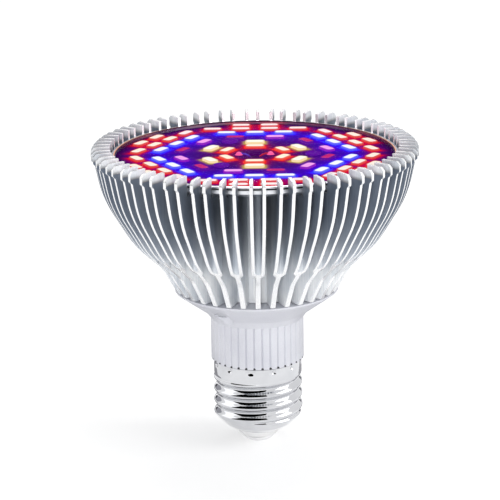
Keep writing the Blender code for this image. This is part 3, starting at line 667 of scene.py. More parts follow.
def carve(obj: Object, tool: Object, operation: str = "DIFFERENCE") -> None:
    """Cuts or joins one shape with another, which is then thrown away.

    Args:
        obj: The shape that stays.
        tool: The other shape. Its faces keep their own material.
        operation: DIFFERENCE, UNION or INTERSECT.
    """
    modify(obj, "BOOLEAN", operation=operation, object=tool, solver="EXACT", material_mode="TRANSFER")
    bpy.data.objects.remove(tool, do_unlink=True)


def smooth(obj: Object, angle: float = 32.0) -> None:
    """Shades the object smooth, but for edges sharper than this many degrees."""
    pick(obj)
    bpy.ops.object.shade_smooth_by_angle(angle=math.radians(angle))


def soften(obj: Object, width: float, slot: int = -1) -> None:
    """Rounds the sharp edges and shades the rest smooth.

    Args:
        obj: The object.
        width: Width of the rounding.
        slot: Material of the rounding, or -1 for that of the faces beside it.
    """
    sharp = {"limit_method": "ANGLE", "angle_limit": math.radians(35.0)}
    modify(obj, "BEVEL", width=width, segments=2, material=slot, **sharp)
    smooth(obj)


def duplicate(obj: Object, turn: float = 0.0, place: Sequence[float] = CENTRE) -> Object:
    """A copy with a mesh of its own, turned about Z and then moved.

    Args:
        obj: The object to copy.
        turn: Angle about Z in radians.
        place: How far it is moved.

    Returns:
        The copy, with its place in its mesh.
    """
    pick(obj)
    bpy.ops.object.duplicate(linked=False)
    made = bpy.context.object
    made.rotation_euler.z = turn
    made.location = place
    return settle(made)


def join(name: str, objects: Sequence[Object]) -> Object:
    """Joins the objects into the first one.

    Args:
        name: Name of the joined object and its mesh.
        objects: The objects, which are used up.

    Returns:
        The joined object.
    """
    pick(*objects)
    bpy.ops.object.join()
    made = bpy.context.object
    made.name = name
    made.data.name = name
    return made


def repeat_round(name: str, obj: Object, count: int, start: float = 0.0) -> Object:
    """The object and its copies evenly round Z, joined into one.

    Args:
        name: Name of the joined object.
        obj: The object that is repeated. It is used up.
        count: How many there are in all.
        start: Turn of the first one in radians.

    Returns:
        The joined object.
    """
    copies = [duplicate(obj, start + 2 * math.pi * index / count) for index in range(count)]
    bpy.data.objects.remove(obj, do_unlink=True)
    return join(name, copies)


def paint(obj: Object, *finishes: Finish) -> None:
    """Gives the object these finishes in this order, with every face on the first.

    Args:
        obj: The object.
        finishes: Its finishes.
    """
    obj.data.materials.clear()
    for finish in finishes:
        obj.data.materials.append(finish.material())


def assign(obj: Object, index: int, chosen: Choice) -> None:
    """Gives one finish to some faces.

    Args:
        obj: The object.
        index: Which of its finishes.
        chosen: Says of a face's place and normal whether it is wanted.
    """
    for face in obj.data.polygons:
        if chosen(face.center, face.normal):
            face.material_index = index


def points_of(obj: Object) -> np.ndarray:
    """The places of the object's points, one row each."""
    return np.array([vertex.co for vertex in obj.data.vertices])


def tint(obj: Object, name: str, colors: np.ndarray) -> None:
    """Keeps a colour on each of the object's points, for its finish to read.

    Args:
        obj: The object.
        name: Name of the attribute.
        colors: Linear red, green and blue, one row for each point.
    """
    rows = np.ones((len(colors), 4), np.float32)
    rows[:, :3] = colors
    obj.data.attributes.new(name, "FLOAT_COLOR", "POINT").data.foreach_set("color", rows.ravel())


def seat(obj: Object, slot: str, *nodes: str) -> None:
    """Lets the piece ride on the frame in place of these solids, and reports it.

    Args:
        obj: The finished piece.
        slot: The record's material slot. Not used.
        nodes: The solids that it stands for.
    """
    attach(obj, "root")
    if nodes:
        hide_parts(*nodes)
    LOG.info("%s: %d faces for %s", obj.name, len(obj.data.polygons), ", ".join(nodes) or "detail")


def filleted(corners: Sequence[Corner], arc_steps: int) -> list[Point]:
    """The corners of a profile as points, with each fillet drawn as an arc.

    Args:
        corners: Radius, height and fillet radius of each corner.
        arc_steps: Chords of each arc.

    Returns:
        Radius and height of each point.
    """
    points: list[Vector] = []
    for index, (radius, height, fillet) in enumerate(corners):
        corner = Vector((radius, height))
        if not fillet:
            points.append(corner)
            continue
        before = (Vector(corners[index - 1][:2]) - corner).normalized()
        after = (Vector(corners[(index + 1) % len(corners)][:2]) - corner).normalized()
        half = before.angle(after) / 2
        centre = corner + (before + after).normalized() * (fillet / math.sin(half))
        start = corner + before * (fillet / math.tan(half)) - centre
        end = corner + after * (fillet / math.tan(half)) - centre
        turn = -start.angle_signed(end)
        turns = [Matrix.Rotation(turn * step / arc_steps, 2) for step in range(arc_steps + 1)]
        points += [centre + rotation @ start for rotation in turns]
    return [(point.x, point.y) for point in points]


def divided(points: Sequence[Point], longest: float) -> list[Point]:
    """The same profile with more points, so that no stretch is over the longest.

    Args:
        points: Radius and height of each point.
        longest: Longest stretch that is left.

    Returns:
        Radius and height of each point.
    """
    made = [points[0]]
    for start, end in zip(points, points[1:]):
        parts = max(1, math.ceil(math.dist(start, end) / longest))
        made += [
            (start[0] + (end[0] - start[0]) * part / parts, start[1] + (end[1] - start[1]) * part / parts)
            for part in range(1, parts + 1)
        ]
    return made


# ---------------------------------------------------------------- heat sink


@dataclass
class HeatSink:
    """The aluminium extrusion: a ring core, 36 tuning fork fins and the turned bowl."""

    levels: Levels
    bore: float = 14.4 * MM
    core: float = 18.8 * MM
    core_sides: int = 144
    neck: float = 24.3 * MM
    fork_count: int = 36
    root: float = 0.4 * MM
    stem: float = 1.4 * MM
    fork_radius: float = 34.3 * MM
    web: float = 1.6 * MM
    branch: float = 0.9 * MM
    spread_at_fork: float = 2.6 * MM
    spread_at_tip: float = 3.6 * MM
    tip: float = 47.5 * MM
    past_tip: float = 2.0 * MM
    corner: float = 1.0 * MM
    lip_fillet: float = 0.4 * MM
    lip_foot_fillet: float = 0.3 * MM
    band: float = 1.9 * MM
    chamfer: float = 0.8 * MM
    port_radius: float = 1.4 * MM
    port_mouth: float = 1.1 * MM
    port_sides: int = 32
    bowl: tuple[Corner, ...] = (
        (44.6 * MM, 14.0 * MM, 30.0 * MM),
        (36.6 * MM, 27.5 * MM, 22.0 * MM),
        (28.7 * MM, 35.0 * MM, 10.0 * MM),
    )
    edge: float = 0.15 * MM
    wedge_turn: float = math.radians(8.0)
    wedge_steps: int = 12

    def profile(self) -> list[Point]:
        """Section that the lathe leaves, from the neck up over the lip to the recess.

        Returns:
            Radius and height of each point.
        """
        foot, top, recess = self.levels.sink_foot, self.levels.sink_top, self.levels.recess_floor
        lip_foot = top - self.corner - self.band
        inner = self.core - SPARE
        corners = [
            (inner, foot, 0),
            (self.neck, foot, 0),
            *((radius, top - drop, fillet) for radius, drop, fillet in reversed(self.bowl)),
            (self.tip - self.chamfer, lip_foot - self.chamfer, 0),
            (self.tip, lip_foot, self.lip_foot_fillet),
            (self.tip, top - self.corner, self.lip_fillet),
            (self.tip - self.corner, top, self.lip_fillet),
            (self.levels.recess_radius, top, 0),
            (self.levels.recess_radius, recess, 0),
            (inner, recess, 0),
        ]
        return filleted(corners, 7)

    def wedge(self) -> Object:
        """One slice of the lathe form, wide enough for one fork.

        Returns:
            The slice, even on both sides of +X.
        """
        obj = draw_line("lathe_slice", self.profile(), False)
        with editing(obj):
            bpy.ops.mesh.edge_face_add()
            bpy.ops.transform.rotate(value=self.wedge_turn / 2, orient_axis="Z", center_override=CENTRE)
        # spun back from the side that the section was turned to
        turn = math.copysign(self.wedge_turn, obj.data.vertices[0].co.y)
        with editing(obj):
            bpy.ops.mesh.spin(steps=self.wedge_steps, angle=turn, center=CENTRE, axis=Z_AXIS)
        weld(obj)
        sides = points_of(obj)[:, 1]
        if abs(sides.max() + sides.min()) > MM:
            raise ValueError("the slice of the lathe form was spun the wrong way")
        paint(obj, Finishes.turned)
        return obj

    def prong(self, name: str, start: float, turn: float, halves: Triple) -> Object:
        """A flared block along +X: narrow at its start, then widening evenly to its end.

        Args:
            name: Name of the object.
            start: Distance of the start from the axis.
            turn: Distance at which the sides turn.
            halves: Half width at the start, at the turn and at the outer end.

        Returns:
            The block, higher than the heat sink.
        """
        near, mid, far = halves
        end = self.tip + self.past_tip
        foot, top = self.levels.sink_foot - SPARE, self.levels.sink_top + SPARE
        obj = add_box(name, (start, -mid, foot), (turn, mid, top))
        with editing(obj, "FACE", lambda place, normal: normal.x < -0.5):
            bpy.ops.transform.resize(value=(1, near / mid, 1), center_override=(start, 0, 0))
        with editing(obj, "FACE", lambda place, normal: normal.x > 0.5):
            bpy.ops.mesh.extrude_region_move(TRANSFORM_OT_translate={"value": (end - turn, 0, 0)})
            bpy.ops.transform.resize(value=(1, far / mid, 1), center_override=(end, 0, 0))
        paint(obj, Finishes.extruded)
        return obj

    def fork(self) -> Object:
        """One fork fin along +X, cut from the die's section by the lathe form.

        Returns:
            The fin.
        """
        half, stem = self.branch / 2, self.stem / 2
        near = self.spread_at_fork / 2
        widening = (self.spread_at_tip - self.spread_at_fork) / 2 / (self.tip - self.fork_radius)
        far = near + widening * (self.tip + self.past_tip - self.fork_radius)
        inside, outside = self.fork_radius - half, self.fork_radius + half
        foot, top = self.levels.sink_foot - SPARE, self.levels.sink_top + SPARE
        obj = add_box("fork", (self.core - self.root, -stem, foot), (inside, stem, top))
        paint(obj, Finishes.extruded)
        head = self.prong("fork_head", self.fork_radius - self.web, inside, (stem, near + half, far + half))
        slot = self.prong("fork_slot", self.fork_radius, outside, (near - 2 * half, near - half, far - half))
        carve(obj, head, "UNION")
        carve(obj, slot)
        carve(obj, self.wedge(), "INTERSECT")
        soften(obj, self.edge, slot=0)
        return obj

    def ring_core(self) -> Object:
        """The ring that the stems grow from, with its bore and three open screw ports.

        Returns:
            The ring.
        """
        foot, top = self.levels.sink_foot, self.levels.recess_floor
        under, over = foot - SPARE, top + SPARE
        circle, azimuths = self.levels.port_circle, self.levels.port_azimuths
        obj = add_rod("core", self.core, foot, top, sides=self.core_sides)
        paint(obj, Finishes.extruded)
        carve(obj, add_rod("core_bore", self.bore, under, over, sides=self.core_sides))
        mouth = self.port_mouth / 2
        port = add_rod("port", self.port_radius, under, over, (circle, 0), self.port_sides)
        throat = add_box("port_throat", (circle, -mouth, under), (self.core + SPARE, mouth, over))
        carve(port, throat, "UNION")
        carve(obj, repeat_round("ports", port, len(azimuths), math.radians(azimuths[0])))
        soften(obj, self.edge)
        return obj

    def build(self) -> None:
        """Models the heat sink and puts it in place of its solid."""
        fins = repeat_round("fins", self.fork(), self.fork_count)
        seat(join("fork_fin_heat_sink", [fins, self.ring_core()]), "turned_aluminium", "heat_sink")


# ---------------------------------------------------------------- tray, lamp board and cover


@dataclass
class Tray:
    """The aluminium dish in the recess of the fins."""

    levels: Levels
    floor: float = 0.8 * MM
    band: float = 2.05 * MM
    draft: float = 1.5 * MM
    fillet: float = 0.15 * MM
    lip_fillet: float = 0.12 * MM
    seam_top: float = 0.5 * MM
    seam_foot: float = 1.0 * MM
    seam_depth: float = 0.45 * MM
    slack: float = 0.05 * MM
    lit_rim: float = 41.0 * MM
    side_light: Triple = (0.95, 0.50, 0.32)
    dim_light: Triple = (0.016, 0.0, 0.022)
    lip: float = 0.35 * MM
    hole: float = 3.0 * MM
    screw_hole: float = 1.5 * MM
    steps: int = 216

    def profile(self) -> list[Point]:
        """Section of the dish, from its lip down the outside and back up the inside.

        Returns:
            Radius and height of each point.
        """
        foot, top = self.levels.tray_foot, self.levels.tray_top
        outer, inner = self.levels.tray_radius, self.levels.tray_bore
        corners = (
            (outer, top, self.fillet),
            (outer, top - self.seam_top, 0),
            (outer - self.seam_depth, top - self.seam_top, 0),
            (outer - self.seam_depth, top - self.seam_foot, 0),
            (outer, top - self.seam_foot, 0),
            (outer, top - self.band, self.fillet),
            (outer - self.draft, foot, self.fillet),
            (self.hole, foot, 0),
            (self.hole, foot + self.floor, 0),
            (inner, foot + self.floor, self.fillet),
            (inner, top - self.lip, 0),
            (inner, top, self.lip_fillet),
            (self.lit_rim, top, 0),
        )
        return filleted(corners, 3)

    def finish(self, obj: Object) -> None:
        """Paints the dish, its seam in black painted shade and its lit lip.

        Args:
            obj: The dish.
        """
        top, outer = self.levels.tray_top, self.levels.tray_radius
        paint(obj, Finishes.spun, Finishes.painted_black_shade, Finishes.lit_rim)
        # painted shade: the faces inside the seam take the black
        assign(
            obj,
            1,
            lambda place, normal: top - self.seam_foot < place.z < top - self.seam_top
            and outer - self.seam_depth - self.slack < math.hypot(place.x, place.y) < outer - self.slack,
        )
        board = self.levels.board_top
        assign(obj, 2, lambda place, normal: place.z > board and math.hypot(place.x, place.y) < self.lit_rim)
        # the outer lamps light the lip, most of all at its left and right
        places = points_of(obj)
        side = np.abs(places[:, 0]) / outer
        rise = np.clip((places[:, 2] - (top - self.lip)) / self.lip, 0, 1)
        tint(obj, "glow", (side * rise)[:, None] ** 3 * np.array(self.side_light) + np.array(self.dim_light))

    def build(self) -> None:
        """Turns the dish, drills it and puts it in place of its solid."""
        foot = self.levels.tray_foot
        obj = lathe("spun_lamp_tray", self.profile(), self.steps)
        self.finish(obj)
        for place in self.levels.port_places():
            under, over = foot - SPARE, foot + self.floor + SPARE
            carve(obj, add_rod("drill", self.screw_hole, under, over, place, HOLE_SIDES))
        smooth(obj)
        seat(obj, "spun_aluminium", "led_tray")


@dataclass(frozen=True)
class Light:
    """What one kind of lamp looks like when it is lit, and how far its light lies on the board."""

    core: str
    halo: str
    spill: Triple
    bloom: float = 0.5 * MM
    fill: float = 1.0
    far: float = 0.08
    reach: float = 3.2 * MM


class Lamp(Enum):
    """The kinds of lamp on the board."""

    RED = Light("fff0f0", "d80a1c", (0.74, 0.000, 0.006), 0.4 * MM)
    ORANGE = Light("fff4e2", "dc1410", (0.64, 0.001, 0.002), 0.4 * MM)
    BLUE = Light("faffff", "3a48ff", (0.050, 0.000, 1.000), far=0.42, reach=4.5 * MM)
    WHITE = Light("fffff0", "f8dca4", (0.40, 0.020, 0.10), 0.7 * MM, 0.8)
    WARM = Light("fff6dc", "ee3414", (0.75, 0.002, 0.006), 0.5 * MM)
    VIOLET = Light("f8a4f0", "8a14c0", (0.10, 0.000, 0.36), 0.3 * MM, 0.15)
    INFRARED = Light("c41470", "5c0a9a", (0.10, 0.000, 0.05), 0.1 * MM, 0.0)


@dataclass
class LampBoard:
    """The round board with 78 lamp packages in six like sides."""

    levels: Levels
    hole: float = 3.0 * MM
    turn: float = math.radians(28.8)
    sides: int = 6
    length: float = 5.7 * MM
    width: float = 3.0 * MM
    height: float = 0.6 * MM
    pitch: float = 8.66 * MM
    screw_hole: float = 1.5 * MM
    corner: float = 1.1 * MM
    rim: float = 0.32 * MM
    dome: tuple[Point, ...] = ((0.18 * MM, 0.06 * MM), (0.35 * MM, 0.05 * MM), (0.45 * MM, 0.02 * MM))
    dome_foot: float = 0.01 * MM
    sunk: float = 0.05 * MM
    warm_side: float = 22.0 * MM
    joint: float = 0.9 * MM
    joint_shape: Triple = (1.3, 1.0, 0.6)
    joint_place: float = 4.6 * MM
    rings: int = 110
    steps: int = 420
    # distance from the middle, spacing in pitches, and the kinds of lamp along one side
    rows: tuple[tuple[float, float, tuple[Lamp, ...]], ...] = (
        (9.3 * MM, 1.0, (Lamp.WARM,)),
        (14.8 * MM, 1.0, (Lamp.WHITE,)),
        (20.9 * MM, 1.378, (Lamp.VIOLET, Lamp.INFRARED)),
        (26.8 * MM, 1.0, (Lamp.BLUE,) * 3),
        (31.8 * MM, 1.0, (Lamp.RED,) * 4),
        (36.6 * MM, 1.0, (Lamp.RED,) * 2),
    )
    # light on the board: beside a lamp, round it, and over the whole middle
    near: float = 0.60
    near_reach: float = 1.4 * MM
    bloom: float = 0.7
    base_light: Triple = (0.012, 0.000, 0.010)
    middle_light: Triple = (0.014, 0.000, 0.090)
    middle_reach: float = 27.0 * MM
    fade_end: float = 3.5 * MM
    fade_length: float = 6.0 * MM
    drowned_red: float = 0.8
    drowned_blue: float = 2.2
    # share of the window's colour that the rim of a package takes on at its top
    rim_light: float = 0.12
    lamps: list[tuple[Vector, float, Lamp]] = field(default_factory=list)

    def lay_out(self) -> None:
        """Lists every lamp's place, heading and kind."""
        for side in range(self.sides):
            heading = self.turn + side * 2 * math.pi / self.sides
            outward = Vector((math.cos(heading), math.sin(heading), 0))
            along = Vector((-outward.y, outward.x, 0))
            for distance, spacing, kinds in self.rows:
                for index, kind in enumerate(kinds):
                    offset = (index - (len(kinds) - 1) / 2) * spacing * self.pitch
                    place = outward * distance + along * offset
                    warm = kind is Lamp.RED and abs(place.x) > self.warm_side
                    self.lamps.append((place, heading, Lamp.ORANGE if warm else kind))

    def spill_at(self, places: np.ndarray) -> np.ndarray:
        """The lamps' light that lies on the board at these places.

        Args:
            places: Points of the board, one row each.

        Returns:
            Linear red, green and blue, one row each.
        """
        total = np.zeros((len(places), 3))
        for place, heading, kind in self.lamps:
            light = kind.value
            step = places[:, :2] - np.array(place[:2])
            outward = np.abs(step @ np.array((math.cos(heading), math.sin(heading))))
            along = np.abs(step @ np.array((-math.sin(heading), math.cos(heading))))
            # distance from the package's edge rather than from its middle
            gap = np.hypot(np.maximum(0, outward - self.width / 2), np.maximum(0, along - self.length / 2))
            near = self.near * np.exp(-((gap / self.near_reach) ** 2))
            near += light.far * np.exp(-gap / light.reach)
            bloom = self.bloom * light.fill * np.exp(-((gap / light.bloom) ** 2))
            total += near[:, None] * np.array(light.spill) + bloom[:, None] * np.array(linear(light.halo)[:3])
        radius = np.hypot(places[:, 0], places[:, 1])
        middle = np.exp(-((radius / self.middle_reach) ** 2))
        total += np.array(self.base_light) + middle[:, None] * np.array(self.middle_light)
        # strong red drowns the blue beside it, and blue the red
        red, blue = total[:, 0].copy(), total[:, 2].copy()
        total[:, 0] *= np.exp(-self.drowned_red * blue)
        total[:, 2] *= np.exp(-self.drowned_blue * red)
        fade = np.clip((self.levels.board_radius + self.fade_end - radius) / self.fade_length, 0, 1)
        return total * fade[:, None]

    def disc(self) -> Object:
        """The board itself, dense enough to carry the lamps' light on its points.

        Returns:
            The painted board.
        """
        foot, top, outer = self.levels.board_foot, self.levels.board_top, self.levels.board_radius
        face = [(self.hole + (outer - self.hole) * ring / self.rings, top) for ring in range(self.rings + 1)]
        obj = lathe("lamp_board_disc", [(self.hole, foot), *face, (outer, foot)], self.steps)
        for place in self.levels.port_places():
            carve(obj, add_rod("drill", self.screw_hole, foot - SPARE, top + SPARE, place, HOLE_SIDES))
        tint(obj, "glow", self.spill_at(points_of(obj)))
        paint(obj, Finishes.mask)
        smooth(obj)
        return obj

    def package(self) -> Object:
        """One lamp package along +X: a low body with round corners and a domed window.

        Returns:
            The package in the middle of the board.
        """
        foot, top = self.levels.board_top - self.sunk, self.levels.board_top + self.height
        half = Vector((self.width / 2, self.length / 2))
        obj = add_box("lamp", (-half.x, -half.y, foot), (half.x, half.y, top))
        with editing(obj, "EDGE", lambda place, along: abs(along.z) > 0.9):
            bpy.ops.mesh.bevel(offset=self.corner, segments=5, affect="EDGES")
        with editing(obj, "FACE", lambda place, normal: normal.z > 0.5):
            for thickness, rise in ((self.rim, 0), *self.dome):
                bpy.ops.mesh.inset(thickness=thickness, depth=rise)
        paint(obj, Finishes.lamp_body, Finishes.lamp_window)
        assign(obj, 1, lambda place, normal: place.z > top + self.dome_foot)
        return obj

    def packages(self) -> Object:
        """All the lamps, each with its own light on its points: hottest in the window, coloured at the foot.

        Returns:
            The lamps as one object.
        """
        pattern = self.package()
        rise = points_of(pattern)[:, 2] - self.levels.board_top
        heat = np.clip(rise / self.height, 0, 1)[:, None] ** 2
        made = []
        for place, heading, kind in self.lamps:
            lamp = duplicate(pattern, heading, place)
            core, halo = (np.array(linear(code)[:3]) for code in (kind.value.core, kind.value.halo))
            tint(lamp, "core", np.tile(core, (len(heat), 1)))
            tint(lamp, "halo", halo + (core - halo) * self.rim_light * kind.value.fill * heat)
            made.append(lamp)
        bpy.data.objects.remove(pattern, do_unlink=True)
        return join("lamp_packages", made)

    def joints(self) -> Object:
        """Two solder domes over the ends of the leads, beside the hole in the middle.

        Returns:
            The domes as one object.
        """
        top = self.levels.board_top
        made = []
        for side in (-1, 1):
            place = (side * self.joint_place, 0, top)
            deselect()
            bpy.ops.mesh.primitive_uv_sphere_add(
                segments=24, ring_count=12, radius=self.joint, location=place
            )
            dome = settle(bpy.context.object)
            with editing(dome):
                bpy.ops.mesh.bisect(
                    plane_co=(0, 0, top - self.sunk), plane_no=Z_AXIS, use_fill=True, clear_inner=True
                )
                bpy.ops.transform.resize(value=self.joint_shape, center_override=place)
            made.append(dome)
        obj = join("lead_solder_joints", made)
        paint(obj, Finishes.lit_solder)
        smooth(obj)
        return obj

    def build(self) -> None:
        """Models the board and its lamps and puts them in place of their solid."""
        self.lay_out()
        seat(self.joints(), "lamp_board")
        seat(self.disc(), "lamp_board", "led_board")
        seat(self.packages(), "lamp_board", "led_board")


@dataclass
class Cover:
    """The clear disc over the lamps, on a short skirt."""

    levels: Levels
    thickness: float = 0.8 * MM
    skirt: float = 1.1 * MM
    skirt_fillet: float = 0.2 * MM
    edge: float = 0.3 * MM
    middle: float = 10.0 * MM
    steps: int = 216

    def build(self) -> None:
        """Turns the cover and puts it in place of its solid."""
        top, foot, outer = self.levels.cover_top, self.levels.cover_foot, self.levels.cover_radius
        corners = (
            (0, top, 0),
            (self.middle, top, 0),
            (outer - self.edge, top, 0),
            (outer, top - self.edge, 0),
            (outer, foot, 0),
            (outer - self.skirt, foot, 0),
            (outer - self.skirt, top - self.thickness, self.skirt_fillet),
            (0, top - self.thickness, 0),
        )
        obj = turn_piece("clear_lamp_cover", filleted(corners, 3), self.steps, Finishes.clear, closed=False)
        seat(obj, "clear_cover", "lens_cover")


# ---------------------------------------------------------------- driver housing


@dataclass
class DriverHousing:
    """The white moulding: spigot, ribbed collar, flare, flange and the sleeve in the heat sink."""

    levels: Levels
    collar: float = 13.75 * MM
    collar_bore: float = 11.2 * MM
    spigot: float = 11.4 * MM
    spigot_bore: float = 10.0 * MM
    spigot_foot: float = 12.5 * MM
    flare_foot: float = 15.3 * MM
    flare_rise: float = 2.2 * MM
    flare_fillet: float = 2.0 * MM
    flange: float = 24.2 * MM
    flange_edge: float = 0.5 * MM
    sleeve: float = 14.1 * MM
    sleeve_bore: float = 12.8 * MM
    sleeve_top: float = 84.4 * MM
    fillet: float = 0.15 * MM
    end_fillet: float = 0.2 * MM
    edge: float = 0.08 * MM
    rib_count: int = 36
    groove_radius: float = 0.72 * MM
    groove_depth: float = 0.52 * MM
    notch_width: float = 0.7 * MM
    notch_depth: float = 0.6 * MM
    notch_height: float = 0.5 * MM
    notch_drop: float = 0.2 * MM
    counterbore: float = 2.8 * MM
    counterbore_floor: float = 44.5 * MM
    screw_hole: float = 1.5 * MM
    steps: int = 180

    def profile(self) -> list[Point]:
        """Section of the moulding, from the top of the sleeve down the outside and back up the bore.

        Returns:
            Radius and height of each point.
        """
        foot, top, flange = self.levels.collar_foot, self.levels.collar_top, self.levels.flange_top
        corners = (
            (self.sleeve, self.sleeve_top, self.end_fillet),
            (self.sleeve, flange, 0),
            (self.flange, flange, self.fillet),
            (self.flange, flange - self.flange_edge, self.fillet),
            (self.flare_foot, top + self.flare_rise, self.flare_fillet),
            (self.collar, top, 0),
            (self.collar, foot, self.fillet),
            (self.spigot, foot, 0),
            (self.spigot, self.spigot_foot, self.end_fillet),
            (self.spigot_bore, self.spigot_foot, self.end_fillet),
            (self.spigot_bore, foot, 0),
            (self.collar_bore, foot + self.collar_bore - self.spigot_bore, 0),
            (self.collar_bore, flange - (self.sleeve_bore - self.collar_bore), 0),
            (self.sleeve_bore, flange, 0),
            (self.sleeve_bore, self.sleeve_top, self.end_fillet),
        )
        return filleted(corners, 4)

    def grooves(self) -> Object:
        """All the grooves of the collar as one cutting shape, each a three sided bar.

        Returns:
            The bars, without a finish.
        """
        foot, top = self.levels.collar_foot - SPARE, self.levels.collar_top
        place = (self.collar - self.groove_depth + self.groove_radius, 0)
        bar = add_rod("collar_groove", self.groove_radius, foot, top, place, 3, math.pi / 2)
        return repeat_round("collar_grooves", bar, self.rib_count, math.pi / self.rib_count)

    def notches(self) -> Object:
        """Small notches at the feet of the grooves, painted black as shade.

        Returns:
            The blocks that cut them, finished in black painted shade.
        """
        foot, half = self.levels.collar_foot, self.notch_width / 2
        low = (self.collar - self.notch_depth, -half, foot - self.notch_drop)
        notch = add_box("notch", low, (self.collar + SPARE, half, foot + self.notch_height))
        made = repeat_round("collar_notches", notch, self.rib_count, math.pi / self.rib_count)
        # painted shade: the faces of the notches are black
        paint(made, Finishes.painted_black_shade)
        return made

    def build(self) -> None:
        """Models the moulding and puts it in place of its solid."""
        collar, over = self.levels.collar_top, self.levels.flange_top + SPARE
        obj = lathe("white_driver_housing", self.profile(), self.steps)
        paint(obj, Finishes.pbt)
        carve(obj, self.grooves())
        carve(obj, self.notches())
        for place in self.levels.port_places():
            carve(obj, add_rod("seat", self.counterbore, collar, self.counterbore_floor, place))
            carve(obj, add_rod("hole", self.screw_hole, collar, over, place, HOLE_SIDES))
        soften(obj, self.edge)
        seat(obj, "white_plastic", "driver_housing")


# ---------------------------------------------------------------- screw cap


@dataclass
class ScrewCap:
    """The rolled shell with its insulator and centre contact."""

    levels: Levels
    mouth: float = 7.7 * MM
    mouth_fillet: float = 2.0 * MM
    shoulder: float = 10.3 * MM
    shoulder_rise: float = 1.6 * MM
    band: float = 13.05 * MM
    band_fillet: float = 1.5 * MM
    cone_rise: float = 4.6 * MM
    wall: float = 0.3 * MM
    crest: float = 13.22 * MM
    root: float = 12.05 * MM
    pitch: float = 3.629 * MM
    crest_height: float = 10.64 * MM
    thread_length: float = 12.8 * MM
    run_in: float = 1.0 * MM
    run_out: float = 1.6 * MM
    row: float = 0.22 * MM
    steps: int = 168
    inner_steps: int = 96
    plug_top: float = 8.6 * MM
    plug_ledge: float = 7.1 * MM
    plug_radius: float = 10.4 * MM
    plug_cone: float = 9.4 * MM
    plug_cone_rise: float = 1.9 * MM
    plug_neck: float = 6.8 * MM
    plug_neck_rise: float = 0.3 * MM
    plug_neck_drop: float = 0.5 * MM
    plug_fillet: float = 0.3 * MM
    insulator_foot: float = 5.5 * MM
    insulator_bore: float = 1.3 * MM
    contact: float = 4.8 * MM
    contact_fillet: float = 0.15 * MM
    contact_edge: float = 0.9 * MM
    contact_edge_fillet: float = 0.4 * MM
    contact_face: float = 3.9 * MM
    contact_face_fillet: float = 0.9 * MM
    rivet: float = 1.0 * MM
    rivet_fillet: float = 0.2 * MM
    rivet_top: float = 9.0 * MM
    stake_count: int = 12
    stake_height: float = 24.3 * MM
    stake_radius: float = 0.75 * MM
    stake_depth: float = 0.5 * MM
    stake_start: float = math.radians(-100.0)

    def thread_strength(self, height: float) -> float:
        """How far the thread is rolled in at one height.

        Args:
            height: The height.

        Returns:
            A share from 0 to 1.
        """
        foot = self.levels.shell_mouth + self.cone_rise
        rise = (height - foot + self.run_in / 2) / self.run_in
        fall = (foot + self.thread_length - height) / self.run_out
        share = max(0.0, min(1.0, rise, fall))
        return share * share * (3 - 2 * share)

    def stake_at(self, azimuth: float, height: float) -> float:
        """How deep the punch marks under the rim are at one place.

        Args:
            azimuth: Angle round the axis in radians.
            height: The height.

        Returns:
            The depth.
        """
        step = 2 * math.pi / self.stake_count
        off = (azimuth - self.stake_start + step / 2) % step - step / 2
        distance = math.hypot(off * self.band, height - self.stake_height)
        return self.stake_depth * max(0.0, 1 - (distance / self.stake_radius) ** 2)

    def shell(self) -> Object:
        """The drawn cup, turned plain; its points are then moved into the helix, which no turning tool gives.

        Returns:
            The shell with its wall.
        """
        mouth = self.levels.shell_mouth
        corners = (
            (self.band, self.levels.shell_top, 0),
            (self.band, mouth + self.cone_rise, self.band_fillet),
            (self.shoulder, mouth + self.shoulder_rise, self.mouth_fillet),
            (self.mouth, mouth, 0),
        )
        obj = lathe("rolled_screw_shell", divided(filleted(corners, 5), self.row), self.steps, closed=False)
        middle, depth = (self.crest + self.root) / 2, (self.crest - self.root) / 2
        for vertex in obj.data.vertices:
            place = vertex.co
            azimuth = math.atan2(place.y, place.x)
            phase = 2 * math.pi * (place.z - self.crest_height) / self.pitch - azimuth
            plain = math.hypot(place.x, place.y)
            radius = plain + self.thread_strength(place.z) * (middle + depth * math.cos(phase) - plain)
            radius -= self.stake_at(azimuth, place.z)
            place.x *= radius / plain
            place.y *= radius / plain
        modify(obj, "SOLIDIFY", thickness=self.wall, offset=-1.0)
        paint(obj, Finishes.nickel)
        smooth(obj, 50)
        return obj

    def insulator(self) -> Object:
        """The pale plug between the shell and the contact.

        Returns:
            The plug.
        """
        foot, mouth, fillet = self.levels.insulator_foot, self.levels.shell_mouth, self.plug_fillet
        corners = (
            (self.insulator_bore, self.plug_top, 0),
            (self.plug_radius, self.plug_top, fillet),
            (self.plug_radius, self.plug_ledge, 0),
            (self.plug_cone, mouth + self.plug_cone_rise, 0),
            (self.plug_neck, mouth + self.plug_neck_rise, 0),
            (self.plug_neck, mouth - self.plug_neck_drop, fillet),
            (self.insulator_foot, foot, fillet),
            (self.insulator_bore, foot, 0),
        )
        return turn_piece("moulded_base_plug", filleted(corners, 4), self.inner_steps, Finishes.pale_pbt)

    def button(self) -> Object:
        """The tinned contact with its rivet.

        Returns:
            The contact.
        """
        top = self.levels.contact_top
        corners = (
            (0, self.rivet_top, 0),
            (self.rivet, self.rivet_top, self.rivet_fillet),
            (self.rivet, top, 0),
            (self.contact, top, self.contact_fillet),
            (self.contact, self.contact_edge, self.contact_edge_fillet),
            (self.contact_face, 0, self.contact_face_fillet),
            (0, 0, 0),
        )
        points = filleted(corners, 5)
        return turn_piece("tinned_contact_button", points, self.inner_steps, Finishes.solder, closed=False)

